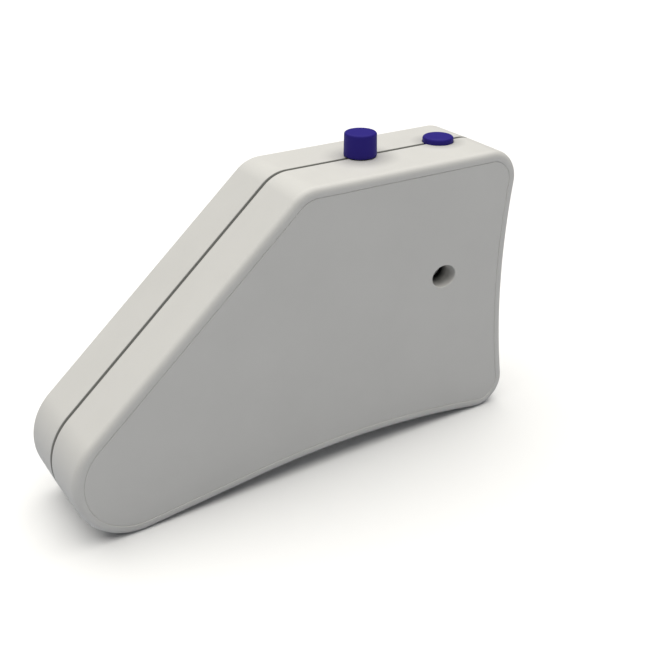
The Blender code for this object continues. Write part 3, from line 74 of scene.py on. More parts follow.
# the moulded case, seen from its near side: x along the top edge, y through it, z up, origin on the seam
case = {
    "halfDepth": 20.0 * mm,
    "slantAngle": math.radians(41.7),
    "slantLength": 101.2 * mm,
    "bendRadius": 13.0 * mm,
    "heelRadius": 21.1 * mm,
    "baseAngle": math.radians(7.2),
    "baseStraightEnd": -19.3 * mm,
    "baseArchRadius": 328.6 * mm,
    "noseMiddle": (83.3 * mm, -46.9 * mm),
    "noseArchRadius": 258.4 * mm,
    "topCornerRadius": 11.1 * mm,
    "baseCornerRadius": 10.8 * mm,
    "draft": math.radians(0.5),
    "edgeRadius": 2.35 * mm,
    "rimWidth": 3.4 * mm,
    "rimBreak": 0.05 * mm,     # the break on the upper edge of the recess's step
    "rimShape": ((-1, 0), (-0.3, 0.25), (0.1, 1)),    # its shares inward and down
    "recessDepth": 0.10 * mm,
    "recessSlope": 0.08 * mm,
    "grooveWidth": 0.30 * mm,    # a fine line at the foot of that step
    "grooveDepth": 0.15 * mm,
    "grooveShape": ((0, 0), (0.12, 0.7), (0.35, 1), (0.65, 1), (0.88, 0.7), (1, 0)),    # across and down
    "wall": 2.6 * mm,
    "faceWall": 3.0 * mm,
    "innerRadius": 1.6 * mm,
    "seamGap": 1.40 * mm,
    "seamEdge": 0.22 * mm,     # the small break on the two edges of the seam
    "land": 1.2 * mm,
    "lip": 1.5 * mm,
    "lipEdge": 0.2 * mm,
    "fit": 0.3 * mm,
    "overrun": 1.0 * mm,       # how far a cutter or a root goes on past a face
    "degreesPerFacet": 2.2,    # how finely the round corners are drawn
    "closestPoints": 0.05 * mm,    # points of the outline nearer than this are drawn as one
    "filletSteps": 12,
    "smallSteps": 3,
    "seamFade": (0.02 * mm, 0.28 * mm),    # where the painted shade on the seam's walls ends
    "sharpAngle": math.radians(30),
}

port = {
    "place": (55.3 * mm, -41.1 * mm),
    "halfWidth": 4.88 * mm,
    "halfHeight": 4.0 * mm,
    "tubeWall": 1.5 * mm,
    "tubeEnd": -11.0 * mm,
    "flangeRadius": 8.5 * mm,
    "flangeHeight": 1.4 * mm,
    "shift": (0.5 * mm, -0.6 * mm),    # the opening sits a little off the middle of its tube
    "mouthRadius": 0.32 * mm,
    "mouthSteps": 8,
    "shadeStart": -15.2 * mm,    # where the painted shade on the tube's wall starts, and where it is darkest
    "shadeEnd": -12.2 * mm,
    "shadeEdge": (1.06, 1.10),    # the painted shade ends between these, where 1 is the oval itself
}

screwPlaces = {
    "slant": (-40.3 * mm, -47.9 * mm),
    "bend": (6.0 * mm, -13.0 * mm),
    "top": (78.0 * mm, -9.0 * mm),
    "base": (75.5 * mm, -89.3 * mm),
    "arch": (17.0 * mm, -89.0 * mm),
}

knob = {
    "x": 33.3 * mm,
    "topRadius": 5.48 * mm,
    "baseRadius": 5.60 * mm,
    "height": 8.3 * mm,
    "edge": 0.75 * mm,
    "edgeSteps": 10,
    "footBreak": ((0.35 * mm, 0.0), (0.1 * mm, 0.08 * mm), (0.0, 0.3 * mm)),    # in from the side, up
    "sideSteps": 8,
    "sideCurve": 0.85,
    "dish": 0.05 * mm,         # how far the middle of the top is hollowed
    "dishShares": (0.7, 0.4, 0.15, 0),
    "shaftRadius": 3.0 * mm,
    "shaftFlat": 1.8 * mm,
    "shaftHole": 0.6 * mm,     # room round the shaft in the case
    "roof": 1.6 * mm,
    "shadeFrom": 9.5 * mm,      # the painted shade on the case round the knob
    "shadeTo": 14.0 * mm,
    "shadeShare": 0.18,
}

button = {
    "x": 65.7 * mm,
    "radius": 5.4 * mm,
    "height": 2.1 * mm,
    "edge": 0.85 * mm,
    "edgeSteps": 12,
    "crown": 0.14 * mm,
    "crownShares": (0.2, 0.4, 0.6, 0.8, 0.93),
    "skirtTop": 0.2 * mm,
    "clearance": 0.12 * mm,
    "flangeReach": 1.4 * mm,
    "flangeHeight": 1.2 * mm,
    "flangeBreak": 0.15 * mm,
    "stemRadius": 3.4 * mm,
    "stemLength": 1.9 * mm,
    "plungerWidth": 3.8 * mm,
    "socketDepth": 1.1 * mm,
    # painted shade on the case round the button
    "shadeFrom": 6.8 * mm,
    "shadeTo": 10.0 * mm,
    "shadeShare": 0.26,
}


def along(angle, length=1.0):
    return Vector((math.cos(angle), math.sin(angle))) * length


def angleTo(centre, target):
    return math.atan2(target[1] - centre[1], target[0] - centre[0])


def upperCrossing(first, firstReach, second, secondReach):
    # the upper of the two points at the given distances from two centres
    span = second - first
    share = (firstReach ** 2 - secondReach ** 2 + span.length ** 2) / (2 * span.length)
    height = math.sqrt(firstReach ** 2 - share ** 2)
    ahead = span.normalized()
    across = Vector((-ahead.y, ahead.x))
    foot = first + ahead * share
    return max(foot + across * height, foot - across * height, key=lambda p: p.y)


# the arcs of the outline, worked out from the case's sizes
slantOutward = along(case["slantAngle"] + quarter)
heel = -along(case["slantAngle"], case["slantLength"]) - slantOutward * case["heelRadius"]
baseAhead = along(case["baseAngle"])
baseOutward = along(case["baseAngle"] - quarter)
baseStart = heel + baseOutward * case["heelRadius"]
baseStraightEnd = baseStart + baseAhead * ((case["baseStraightEnd"] - baseStart.x) / baseAhead.x)
baseArch = baseStraightEnd + baseOutward * case["baseArchRadius"]
noseArch = Vector((case["noseMiddle"][0] + case["noseArchRadius"], case["noseMiddle"][1]))
bend = Vector((case["bendRadius"] * math.tan(case["slantAngle"] / 2), -case["bendRadius"]))
cornerDrop = case["noseMiddle"][1] + case["topCornerRadius"]
topCorner = Vector((
    noseArch.x - math.sqrt((case["noseArchRadius"] + case["topCornerRadius"]) ** 2 - cornerDrop ** 2),
    -case["topCornerRadius"],
))
baseCorner = upperCrossing(
    noseArch, case["noseArchRadius"] + case["baseCornerRadius"],
    baseArch, case["baseArchRadius"] + case["baseCornerRadius"],
)
outlineArcs = [   # centre, radius, first angle, last angle, bulges outward, least facets
    (bend, case["bendRadius"], quarter + case["slantAngle"], quarter, True, 20),
    (topCorner, case["topCornerRadius"], quarter, angleTo(topCorner, noseArch), True, 30),
    (noseArch, case["noseArchRadius"], angleTo(noseArch, topCorner) % turn,
     angleTo(noseArch, baseCorner) % turn, False, 24),
    (baseCorner, case["baseCornerRadius"], angleTo(baseCorner, noseArch),
     angleTo(baseCorner, baseArch), True, 30),
    (baseArch, case["baseArchRadius"], angleTo(baseArch, baseCorner),
     quarter + case["baseAngle"], False, 32),
    (heel, case["heelRadius"], case["baseAngle"] - quarter + turn,
     quarter + case["slantAngle"], True, 60),
]
screwSpots = [tuple(heel)] + list(screwPlaces.values())
baseFrame = Matrix.Translation((baseStart.x, 0, baseStart.y)) @ Matrix.Rotation(-case["baseAngle"], 4, "Y")

# the knob's joint says how the case stands in the frame
knobJoint = next(joint for joint in frame["joints"] if joint["name"] == "knob_turn")
tilt = math.atan2(knobJoint["axis"][0], knobJoint["axis"][2])
stand = (Matrix.Translation(knobJoint["pos_m"]) @ Matrix.Rotation(tilt, 4, "Y")
         @ Matrix.Translation((-knob["x"], 0, 0)))
print("case stands at", round(math.degrees(tilt), 3), "degrees")


# shapes, all in the case's own frame

def ring(inset):
    # the outline moved inward
    points = []
    for centre, radius, first, last, bulges, least in outlineArcs:
        reach = radius - inset if bulges else radius + inset
        count = max(least, round(math.degrees(abs(last - first)) / case["degreesPerFacet"]))
        for step in range(count + 1):
            point = centre + along(first + (last - first) * step / count, reach)
            if not points or (point - points[-1]).length > case["closestPoints"]:
                points.append(point)
    return points


def solid(rows, closed):
    # a solid through rows of points; a row of one point closes to a tip
    shape = bmesh.new()
    rows = [[shape.verts.new(point) for point in row] for row in rows]
    count = max(len(row) for row in rows)
    pairs = list(zip(rows, rows[1:]))
    if closed:
        pairs.append((rows[-1], rows[0]))
    for row, following in pairs:
        for k in range(count):
            after = (k + 1) % count
            corners = [row[k % len(row)], row[after % len(row)],
                       following[after % len(following)], following[k % len(following)]]
            shape.faces.new(list(dict.fromkeys(corners)))
    if not closed:
        for row in (rows[0], rows[-1]):
            if len(row) > 1:
                shape.faces.new(row)
    bmesh.ops.recalc_face_normals(shape, faces=shape.faces)
    return shape


def loft(sections):
    # each section is a ring of points and its depth y
    return solid([[(p[0], y, p[1]) for p in points] for points, y in sections], False)


def spun(profile, place, axis, facets, closed=False):
    # a turned body from (radius, height) pairs about an axis through place
    upright = Vector((0, 0, 1)).rotation_difference(Vector(axis)).to_matrix().to_4x4()
    seat = Matrix.Translation(place) @ upright
    rows = []
    for radius, height in profile:
        count = facets if radius > 0 else 1
        rows.append([seat @ Vector((*along(turn * k / facets, radius), height)) for k in range(count)])
    return solid(rows, closed)


def rod(radius, start, end, facets):
    start, end = Vector(start), Vector(end)
    axis = end - start
    return spun([(0, 0), (radius, 0), (radius, axis.length), (0, axis.length)], start, axis, facets)


def block(low, high, turned=Matrix()):
    shape = bmesh.new()
    size = [b - a for a, b in zip(low, high)]
    middle = [(a + b) / 2 for a, b in zip(low, high)]
    scaled = Matrix.Translation(middle) @ Matrix.Diagonal((*size, 1.0))
    bmesh.ops.create_cube(shape, size=1.0, matrix=turned @ scaled)
    return shape


def oval(grow, depths, mouth=0.0):
    # an oval bar along y on the sound port; a mouth flares its near end like a small trumpet
    px, pz = port["place"]
    near, far = depths
    stations = [(grow, far), (grow, near)]
    if mouth:
        px, pz = px + port["shift"][0], pz + port["shift"][1]
        stations = [(grow, far)]
        for step in range(port["mouthSteps"] + 1):
            angle = quarter * step / port["mouthSteps"]
            stations.append((grow + mouth * (1 - math.cos(angle)), near + mouth * (1 - math.sin(angle))))
        stations.append((grow + mouth, near - case["overrun"]))
    sections = []
    for extra, y in stations:
        wide, tall = port["halfWidth"] + extra, port["halfHeight"] + extra
        angles = [turn * k / roundness["port"] for k in range(roundness["port"])]
        sections.append(([(px + wide * math.cos(a), pz + tall * math.sin(a)) for a in angles], y))
    return loft(sections)


def grouped(shapes):
    whole = bmesh.new()
    for shape in shapes:
        part = bpy.data.meshes.new("part")
        shape.to_mesh(part)
        shape.free()
        whole.from_mesh(part)
        bpy.data.meshes.remove(part)
    return whole


def pieceFrom(name, shape):
    mesh = bpy.data.meshes.new(name)
    shape.to_mesh(mesh)
    shape.free()
    piece = bpy.data.objects.new(name, mesh)
    bpy.context.scene.collection.objects.link(piece)
    return piece


def shapeOf(piece):
    # takes a helper piece out of the scene and hands its shape on
    shape = bmesh.new()
    shape.from_mesh(piece.data)
    bpy.data.objects.remove(piece, do_unlink=True)
    return shape


weld = {"merge": 0.002 * mm, "sliver": 0.001 * mm}    # what a cut's loose ends are cleaned by


def change(piece, shape, operation):
    tool = pieceFrom("tool", shape)
    step = piece.modifiers.new("change", "BOOLEAN")
    step.operation = operation
    step.solver = "EXACT"
    step.object = tool
    graph = bpy.context.evaluated_depsgraph_get()
    result = bpy.data.meshes.new_from_object(piece.evaluated_get(graph))
    piece.modifiers.remove(step)
    clean = bmesh.new()
    clean.from_mesh(result)
    bmesh.ops.remove_doubles(clean, verts=clean.verts, dist=weld["merge"])
    bmesh.ops.dissolve_degenerate(clean, edges=clean.edges, dist=weld["sliver"])
    clean.to_mesh(result)
    clean.free()
    old, toolMesh = piece.data, tool.data
    piece.data = result
    bpy.data.objects.remove(tool, do_unlink=True)
    bpy.data.meshes.remove(old)
    bpy.data.meshes.remove(toolMesh)


def join(piece, *shapes):
    for shape in shapes:
        change(piece, shape, "UNION")


def cut(piece, *shapes):
    for shape in shapes:
        change(piece, shape, "DIFFERENCE")


def settle(piece, body, material, node):
    # puts a finished piece where the case stands, smooths it and rides it on its body
    piece.data.transform(stand)
    piece.data.materials.clear()
    piece.data.materials.append(material)
    piece.data.shade_smooth()
    piece.data.set_sharp_from_angle(angle=case["sharpAngle"])
    weighted = piece.modifiers.new("normals", "WEIGHTED_NORMAL")
    weighted.keep_sharp = True
    weighted.weight = 80
    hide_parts(node)
    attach(piece, body)


# the moulded case

def sideInset(depth):
    return math.tan(case["draft"]) * (depth - case["seamGap"] / 2)


def outerSections(side):
    # the outside of one half, from the small break on its seam edge to the floor of the face recess
    straight = case["halfDepth"] - case["edgeRadius"]
    drawn = sideInset(straight)
    seam, edge = case["seamGap"] / 2, case["seamEdge"]
    sections = [(ring(edge), side * seam)]
    for step in range(1, case["smallSteps"] + 1):
        angle = quarter * step / case["smallSteps"]
        inset = edge * (1 - math.sin(angle)) + sideInset(seam + edge)
        sections.append((ring(inset), side * (seam + edge * (1 - math.cos(angle)))))
    for step in range(case["filletSteps"] + 1):
        reach = along(quarter * step / case["filletSteps"], case["edgeRadius"])
        sections.append((ring(drawn + case["edgeRadius"] - reach.x), side * (straight + reach.y)))
    face, rim, crisp = case["halfDepth"], case["rimWidth"], case["rimBreak"]
    foot = face - case["recessDepth"]
    for inward, down in case["rimShape"]:
        sections.append((ring(rim + crisp * inward), side * (face - crisp * down)))
    for across, down in case["grooveShape"]:
        sections.append((ring(rim + case["recessSlope"] + case["grooveWidth"] * across),
                         side * (foot - case["grooveDepth"] * down)))
    return sections


def innerSections(side):
    floor = case["halfDepth"] - case["faceWall"]
    sections = []
    for step in range(case["smallSteps"] + 1):
        reach = along(quarter * step / case["smallSteps"], case["innerRadius"])
        sections.append((ring(case["wall"] + case["innerRadius"] - reach.x),
                         side * (floor - case["innerRadius"] + reach.y)))
    return sections


pillar = {
    "nearRadius": 3.6 * mm,
    "farRadius": 4.2 * mm,
    "gap": 0.15 * mm,          # from a pillar's end to the middle of the seam
    "pilotRadius": 1.7 * mm,
    "ribReach": 2.4 * mm,
    "ribHalf": 0.6 * mm,
    "ribHeight": 5.0 * mm,
}


def pillars(radius, start, end, facets):
    return [rod(radius, (x, start, z), (x, end, z), facets) for x, z in screwSpots]


def gussets(radius, floor, top):
    reach, half = radius + pillar["ribReach"], pillar["ribHalf"]
    low, high = min(floor, top), max(floor, top)
    ribs = []
    for x, z in screwSpots:
        ribs.append(block((x - reach, low, z - half), (x + reach, high, z + half)))
        ribs.append(block((x - half, low, z - reach), (x + half, high, z + reach)))
    return ribs


def controlHoles(edge=0.25 * mm, brink=0.08 * mm):
    # openings for the shaft and the button, each with a small lead-in at the top
    under = -case["wall"] - case["overrun"]
    high = edge * 4
    shaft = knob["shaftRadius"] + knob["shaftHole"]
    shaftProfile = [(0, under), (shaft, under), (shaft, -edge), (shaft + edge, 0),
                    (shaft + edge * 5, high), (0, high)]
    hole = button["radius"] + button["clearance"]
    holeProfile = [(0, under), (hole, under), (hole, -brink), (hole + brink * 0.3, -brink * 0.3),
                   (hole + brink, 0), (hole + edge * 5, high), (0, high)]
    return grouped([
        spun(shaftProfile, (knob["x"], 0, 0), (0, 0, 1), roundness["port"]),
        spun(holeProfile, (button["x"], 0, 0), (0, 0, 1), roundness["control"]),
    ])


# the two rails of the near half that hold the control board, level with the case's top edge
boardRails = {
    "start": 24.0 * mm,
    "end": 72.0 * mm,
    "boardTop": -14.0 * mm,
    "boardFoot": -15.6 * mm,
    "boardEdge": -8.7 * mm,
    "grip": 1.2 * mm,
    "thickness": 1.2 * mm,
}

# the ring wall behind the port, with the receiver's ledges and the clamp's screw posts
receiverSeat = {
    "radius": 15.3 * mm,
    "wall": 1.4 * mm,
    "rimEnd": -7.7 * mm,
    "ledges": 4,
    "ledgeFrom": 13.2 * mm,
    "ledgeHalf": 2.0 * mm,
    "ledgeTop": -9.4 * mm,
    "postRing": 18.6 * mm,
    "postAngles": (20, 140, 260),
    "postRadius": 2.6 * mm,
    "pilotRadius": 1.2 * mm,
    "pilotDepth": 6.0 * mm,
}


def postPlaces():
    px, pz = port["place"]
    spots = [along(math.radians(angle), receiverSeat["postRing"]) for angle in receiverSeat["postAngles"]]
    return [(px + spot.x, pz + spot.y) for spot in spots]


def makeNearShell(material):
    fit, over = case["fit"], case["overrun"]
    floor = case["halfDepth"] - case["faceWall"]
    seam, lipInset = case["seamGap"] / 2, case["land"] + fit
    lip = [(ring(lipInset), -seam), (ring(lipInset), case["lip"] - case["lipEdge"]),
           (ring(lipInset + case["lipEdge"]), case["lip"]), (ring(case["wall"]), case["lip"])]
    shell = pieceFrom("nearShell", loft(list(reversed(outerSections(-1))) + lip + innerSections(-1)))
    root = -floor - over
    px, pz = port["place"]

    railEnd = boardRails["boardEdge"] + boardRails["grip"]
    upper, lower = boardRails["boardTop"] + fit, boardRails["boardFoot"] - fit
    thickness = boardRails["thickness"]
    rails = [block((boardRails["start"], root, level), (boardRails["end"], railEnd, level + thickness))
             for level in (upper, lower - thickness)]

    wallIn, back = receiverSeat["radius"], receiverSeat["rimEnd"]
    wallOut = wallIn + receiverSeat["wall"]
    half = receiverSeat["ledgeHalf"]
    ledges = []
    for k in range(receiverSeat["ledges"]):
        angle = turn * (k + 0.5) / receiverSeat["ledges"]
        seat = Matrix.Translation((px, 0, pz)) @ Matrix.Rotation(angle, 4, "Y")
        ledges.append(block((receiverSeat["ledgeFrom"], root, -half),
                            (wallOut - receiverSeat["wall"] / 2, receiverSeat["ledgeTop"], half), seat))
    flangeTop = port["tubeEnd"] - port["flangeHeight"]
    posts = [rod(receiverSeat["postRadius"], (x, root, z), (x, back, z), roundness["post"])
             for x, z in postPlaces()]
    join(
        shell,
        grouped(pillars(pillar["nearRadius"], root, -pillar["gap"], roundness["pillar"])),
        *gussets(pillar["nearRadius"], root, pillar["ribHeight"] - floor),
        grouped(rails),
        oval(port["tubeWall"], (root, port["tubeEnd"] - port["flangeHeight"] / 2)),
        rod(port["flangeRadius"], (px, flangeTop, pz), (px, port["tubeEnd"], pz), roundness["port"]),
        spun([(wallIn, root), (wallOut, root), (wallOut, back - fit), (wallIn, back - fit)],
             (px, 0, pz), (0, 1, 0), roundness["ringWall"], closed=True),
        grouped(ledges),
        grouped(posts),
    )
    mouth = case["recessDepth"] - case["halfDepth"]
    tip = screwSeat() - screw["length"]
    pilotEnd = back - receiverSeat["pilotDepth"]
    pilots = [rod(receiverSeat["pilotRadius"], (x, pilotEnd, z), (x, back + over, z), roundness["pilot"])
              for x, z in postPlaces()]
    cut(
        shell,
        oval(0, (mouth, port["tubeEnd"] + over), port["mouthRadius"]),
        grouped(pillars(pillar["pilotRadius"], tip - fit, over, roundness["nearScrewHole"])),
        grouped(pilots),
        controlHoles(),
    )
    settle(shell, "case", material, "near_shell")


# the battery bay, in a frame along the straight part of the base

bayAt = {
    "start": 9.0 * mm,
    "length": 57.0 * mm,
    "foot": 8.0 * mm,
    "width": 27.4 * mm,
    "floor": -0.9 * mm,
    "wall": 1.6 * mm,
    "notchHalf": 3.0 * mm,     # the notch for the leads
    "notchTop": 6.0 * mm,
    "ledge": 3.0 * mm,
    "pocketFloor": 16.9 * mm,
    "runOut": -4.0 * mm,       # how far the bay's cutters run out under the base
    "railReach": 0.8 * mm,
    "railHeight": 0.8 * mm,
    "railStart": 4.0 * mm,
    "ribHeight": 0.4 * mm,
    "ribLength": 20.0 * mm,
    "ribWidth": 1.0 * mm,
    "ribPitch": 2.5 * mm,
    "ribs": 4,
    "ribSteps": 12,
    "ribCrown": ((0, 0.45), (0.18, 0.8), (0.5, 1)),    # parts of the half width inward and of the height up
}

standoffs = {
    "places": [(x, z) for x in (16.0 * mm, 68.0 * mm) for z in (-80.0 * mm, -18.4 * mm)],
    "radius": 2.8 * mm,
    "boardFace": 10.9 * mm,
    "pilotRadius": 1.2 * mm,
    "pilotEnd": 14.8 * mm,
}

screw = {
    "wellDepth": 11.0 * mm,
    "wellEdge": 0.3 * mm,
    "headRadius": 2.7 * mm,
    "headHeight": 2.0 * mm,
    "headEdge": 0.1 * mm,
    "crownSide": 0.62,         # the flat share of the pan head's radius
    "crownHeight": 0.42,       # and the share of its height that is rounded
    "crownSteps": 8,
    "shankRadius": 1.4 * mm,
    "neck": 3.4 * mm,          # the plain run under the head
    "neckEdge": 0.2 * mm,
    "length": 21.0 * mm,
    "tip": ((0, 0), (0.35, 0), (0.75, 0.9)),    # the point, in shares of the shank's radius
    "driveWidth": 0.8 * mm,
    "driveReach": 3.2 * mm,
    "driveDepth": 1.1 * mm,
    "driveTurn": 0.7,          # how much further each screw was driven than the one before
    "threadPitch": 0.9 * mm,
    "threadDepth": 0.22 * mm,
    "threadCrest": (0.35, 0.45, 0.8),    # shares of the pitch where the crest starts and ends, and the foot
}


def bay(grow, floor, roof):
    last, top = bayAt["start"] + bayAt["length"], bayAt["foot"] + bayAt["width"]
    return block((bayAt["start"] - grow, floor, bayAt["foot"] - grow),
                 (last + grow, roof, top + grow), baseFrame)


def bedEnds():
    # where the cover starts and ends along the base, and how high it reaches
    return (bayAt["start"] - bayAt["ledge"], bayAt["start"] + bayAt["length"] + bayAt["ledge"],
            bayAt["foot"] + bayAt["width"] + bayAt["ledge"])


def coverBed(grow, floor, roof):
    first, last, top = bedEnds()
    return block((first - grow, floor, bayAt["runOut"]), (last + grow, roof, top + grow), baseFrame)


def screwSeat():
    # where the case screws' heads rest
    return case["halfDepth"] - screw["wellDepth"] + case["fit"]


def makeFarShell(material):
    seam, fit, over = case["seamGap"] / 2, case["fit"], case["overrun"]
    pocket, wall = bayAt["pocketFloor"], bayAt["wall"]
    floor = case["halfDepth"] - case["faceWall"]
    rebateEnd = case["lip"] + fit
    rebate = [(ring(case["land"]), seam), (ring(case["land"]), rebateEnd), (ring(case["wall"]), rebateEnd)]
    shell = pieceFrom("farShell", loft(list(reversed(outerSections(1))) + rebate + innerSections(1)))
    root = floor + over
    bed = pieceFrom("bed", coverBed(wall, pocket - wall, case["halfDepth"] - wall))
    inside = ring(case["wall"] / 2)
    change(bed, loft([(inside, -case["halfDepth"]), (inside, case["halfDepth"])]), "INTERSECT")
    standoffEnd = standoffs["boardFace"] + fit
    posts = [rod(standoffs["radius"], (x, standoffEnd, z), (x, root, z), roundness["post"])
             for x, z in standoffs["places"]]
    join(
        shell,
        grouped(pillars(pillar["farRadius"], pillar["gap"], root, roundness["pillar"])),
        *gussets(pillar["farRadius"], floor - pillar["ribHeight"], root),
        grouped(posts),
        bay(wall, bayAt["floor"] - wall, pocket - wall / 2),
        shapeOf(bed),
    )
    first, last, top = bedEnds()
    bayEnd, middle = last - bayAt["ledge"], bayAt["foot"] + bayAt["width"] / 2
    grooveRoof = pocket + fit + bayAt["railHeight"] + fit
    reach = bayAt["railReach"]
    grooves = [block((low, pocket + fit / 2, bayAt["runOut"]), (high, grooveRoof, top - fit), baseFrame)
               for low, high in ((first - reach, first + over), (last - over, last + reach))]
    notch = block((bayEnd - over, 0, middle - bayAt["notchHalf"]),
                  (bayEnd + wall + over, bayAt["notchTop"], middle + bayAt["notchHalf"]), baseFrame)
    wellFloor = case["halfDepth"] - screw["wellDepth"]
    pilotStart, pilotEnd = standoffEnd - over, standoffs["pilotEnd"] + fit
    pilots = [rod(standoffs["pilotRadius"], (x, pilotStart, z), (x, pilotEnd, z), roundness["pilot"])
              for x, z in standoffs["places"]]
    cut(
        shell,
        coverBed(0, pocket, case["halfDepth"] + over),
        grouped(grooves),
        bay(0, bayAt["floor"], case["halfDepth"]),
        notch,
        screwWells(wellFloor),
        grouped(pillars(screw["shankRadius"] + fit, -over, wellFloor + over, roundness["farScrewHole"])),
        grouped(pilots),
        controlHoles(),
    )
    settle(shell, "case", material, "far_shell")


def screwWells(floor):
    # screw wells with a small break where they meet the recess floor
    mouth = case["halfDepth"] - case["recessDepth"]
    radius, edge = screw["headRadius"] + case["fit"], screw["wellEdge"]
    high = mouth + edge * 5
    profile = [(0, floor), (radius, floor), (radius, mouth - edge),
               (radius + edge * 0.3, mouth - edge * 0.3), (radius + edge, mouth),
               (radius + edge, high), (0, high)]
    return grouped([spun(profile, (x, 0, z), (0, 1, 0), roundness["screw"]) for x, z in screwSpots])


def makeBatteryCover(material):
    fit, over = case["fit"], case["overrun"]
    inner = bayAt["pocketFloor"] + fit
    cover = pieceFrom("batteryCover", loft([(ring(0), -fit)] + outerSections(1)))
    change(cover, coverBed(-fit, inner, case["halfDepth"] + over), "INTERSECT")
    first, last, top = bedEnds()
    reach, railRoof = bayAt["railReach"] - fit, inner + bayAt["railHeight"]
    join(cover, grouped([
        block((low, inner + fit / 2, bayAt["railStart"]), (high, railRoof, top - fit * 2), baseFrame)
        for low, high in ((first - reach, first + over), (last - over, last + reach))
    ]))
    highest = bayAt["foot"] + bayAt["width"] - bayAt["ribPitch"]
    for k in range(bayAt["ribs"]):
        join(cover, gripRib(highest - k * bayAt["ribPitch"]))
    settle(cover, "cover", material, "battery_cover")


def gripRib(level):
    # one grip rib: a long low bar with round ends and a crowned top
    half, width, height = bayAt["ribLength"] / 2, bayAt["ribWidth"] / 2, bayAt["ribHeight"]
    foot = case["halfDepth"] - case["recessDepth"]
    stations = [(0, foot - height)]
    stations += [(width * share, foot + height * up) for share, up in bayAt["ribCrown"]]
    sections = []
    for inset, y in stations:
        points = []
        for x, start in ((half - width, -quarter), (width - half, quarter)):
            points += [Vector((x, 0)) + along(start + math.pi * k / bayAt["ribSteps"], width - inset)
                       for k in range(bayAt["ribSteps"] + 1)]
        sections.append((points, y))
    shape = loft(sections)
    seat = baseFrame @ Matrix.Translation((bayAt["start"] + bayAt["length"] / 2, 0, level + width))
    bmesh.ops.transform(shape, matrix=seat, verts=shape.verts)
    return shape


def makeCaseScrews(material):
    seat = screwSeat()
    top, tip = seat + screw["headHeight"], seat - screw["length"]
    head, shank, pitch = screw["headRadius"], screw["shankRadius"], screw["threadPitch"]
    core, side = shank - screw["threadDepth"], screw["crownSide"]
    crestStart, crestEnd, crestFoot = (pitch * share for share in screw["threadCrest"])
    for number, (x, z) in enumerate(screwSpots, 1):
        profile = [(shank * out, tip + shank * up) for out, up in screw["tip"]]
        level = tip + shank
        while level < seat - screw["neck"]:
            profile += [(core, level), (shank, level + crestStart), (shank, level + crestEnd),
                        (core, level + crestFoot)]
            level += pitch
        profile += [(shank, level + screw["neckEdge"] * 2), (shank, seat - screw["neckEdge"]),
                    (shank + screw["neckEdge"], seat), (head - screw["headEdge"], seat),
                    (head, seat + screw["headEdge"])]
        for k in range(1, screw["crownSteps"] + 1):
            angle = quarter * k / screw["crownSteps"]
            profile.append((head * (side + (1 - side) * math.cos(angle)),
                            top - screw["headHeight"] * screw["crownHeight"] * (1 - math.sin(angle))))
        profile.append((0, top))
        piece = pieceFrom(f"caseScrew{number}", spun(profile, (x, 0, z), (0, 1, 0), roundness["screw"]))
        turnBy = Matrix.Translation((x, 0, z)) @ Matrix.Rotation(screw["driveTurn"] * number, 4, "Y")
        half, reach = screw["driveWidth"] / 2, screw["driveReach"] / 2
        for a, b in ((half, reach), (reach, half)):
            cut(piece, block((-a, top - screw["driveDepth"], -b), (a, top + case["overrun"], b), turnBy))
        settle(piece, "case", material, f"case_screw_{number}")


# controls on the top edge

def makeLevelKnob(material):
    top, foot, edge = knob["height"], case["fit"], knob["edge"]
    base, rim = knob["baseRadius"], knob["topRadius"]
    profile = [(0, foot)] + [(base - inward, foot + up) for inward, up in knob["footBreak"]]
    sideFoot = foot + knob["footBreak"][-1][1]
    for k in range(1, knob["sideSteps"] + 1):
        share = k / knob["sideSteps"]
        profile.append((base + (rim - base) * share ** knob["sideCurve"],
                        sideFoot + (top - edge - sideFoot) * share))
    for k in range(1, knob["edgeSteps"] + 1):
        angle = quarter * k / knob["edgeSteps"]
        profile.append((rim - edge * (1 - math.cos(angle)), top - edge * (1 - math.sin(angle))))
    for share in knob["dishShares"]:
        profile.append(((rim - edge) * share, top - knob["dish"] * (1 - share)))
    piece = pieceFrom("levelKnob", spun(profile, (knob["x"], 0, 0), (0, 0, 1), roundness["control"]))
    boreTop = top - knob["roof"]
    bore = pieceFrom("bore", rod(knob["shaftRadius"] + case["fit"], (knob["x"], 0, -case["overrun"]),
                                 (knob["x"], 0, boreTop), roundness["shaft"]))
    wide = knob["shaftRadius"] + case["overrun"]
    cut(bore, block((knob["x"] - wide, knob["shaftFlat"] + case["fit"], -case["overrun"] * 2),
                    (knob["x"] + wide, wide, boreTop + case["overrun"])))
    cut(piece, shapeOf(bore))
    settle(piece, "knob", material, "level_knob")


def makeToneButton(material):
    radius, height = button["radius"], button["height"]
    edge, crown, crisp = button["edge"], button["crown"], button["flangeBreak"]
    profile = [(0, height)]
    for share in button["crownShares"]:
        profile.append(((radius - edge) * share, height - crown * share ** 2))
    for k in range(button["edgeSteps"] + 1):
        reach = along(quarter * (1 - k / button["edgeSteps"]), edge)
        profile.append((radius - edge + reach.x, height - crown - edge + reach.y))
    under = -case["wall"] - case["fit"]
    reach = radius + button["flangeReach"]
    foot = under - button["flangeHeight"]
    stemFoot = foot - button["stemLength"]
    profile += [(radius, button["skirtTop"]), (radius, under), (reach - crisp, under),
                (reach, under - crisp), (reach, foot + crisp), (reach - crisp, foot),
                (button["stemRadius"], foot), (button["stemRadius"], stemFoot), (0, stemFoot)]
    piece = pieceFrom("toneButton", spun(profile, (button["x"], 0, 0), (0, 0, 1), roundness["control"]))
    hole = button["plungerWidth"] / 2 + case["fit"]
    cut(piece, block((button["x"] - hole, -hole, stemFoot - case["overrun"]),
                     (button["x"] + hole, hole, stemFoot + button["socketDepth"])))
    settle(piece, "button", material, "tone_button")


# materials, all from nodes and placed by the pieces' own coordinates

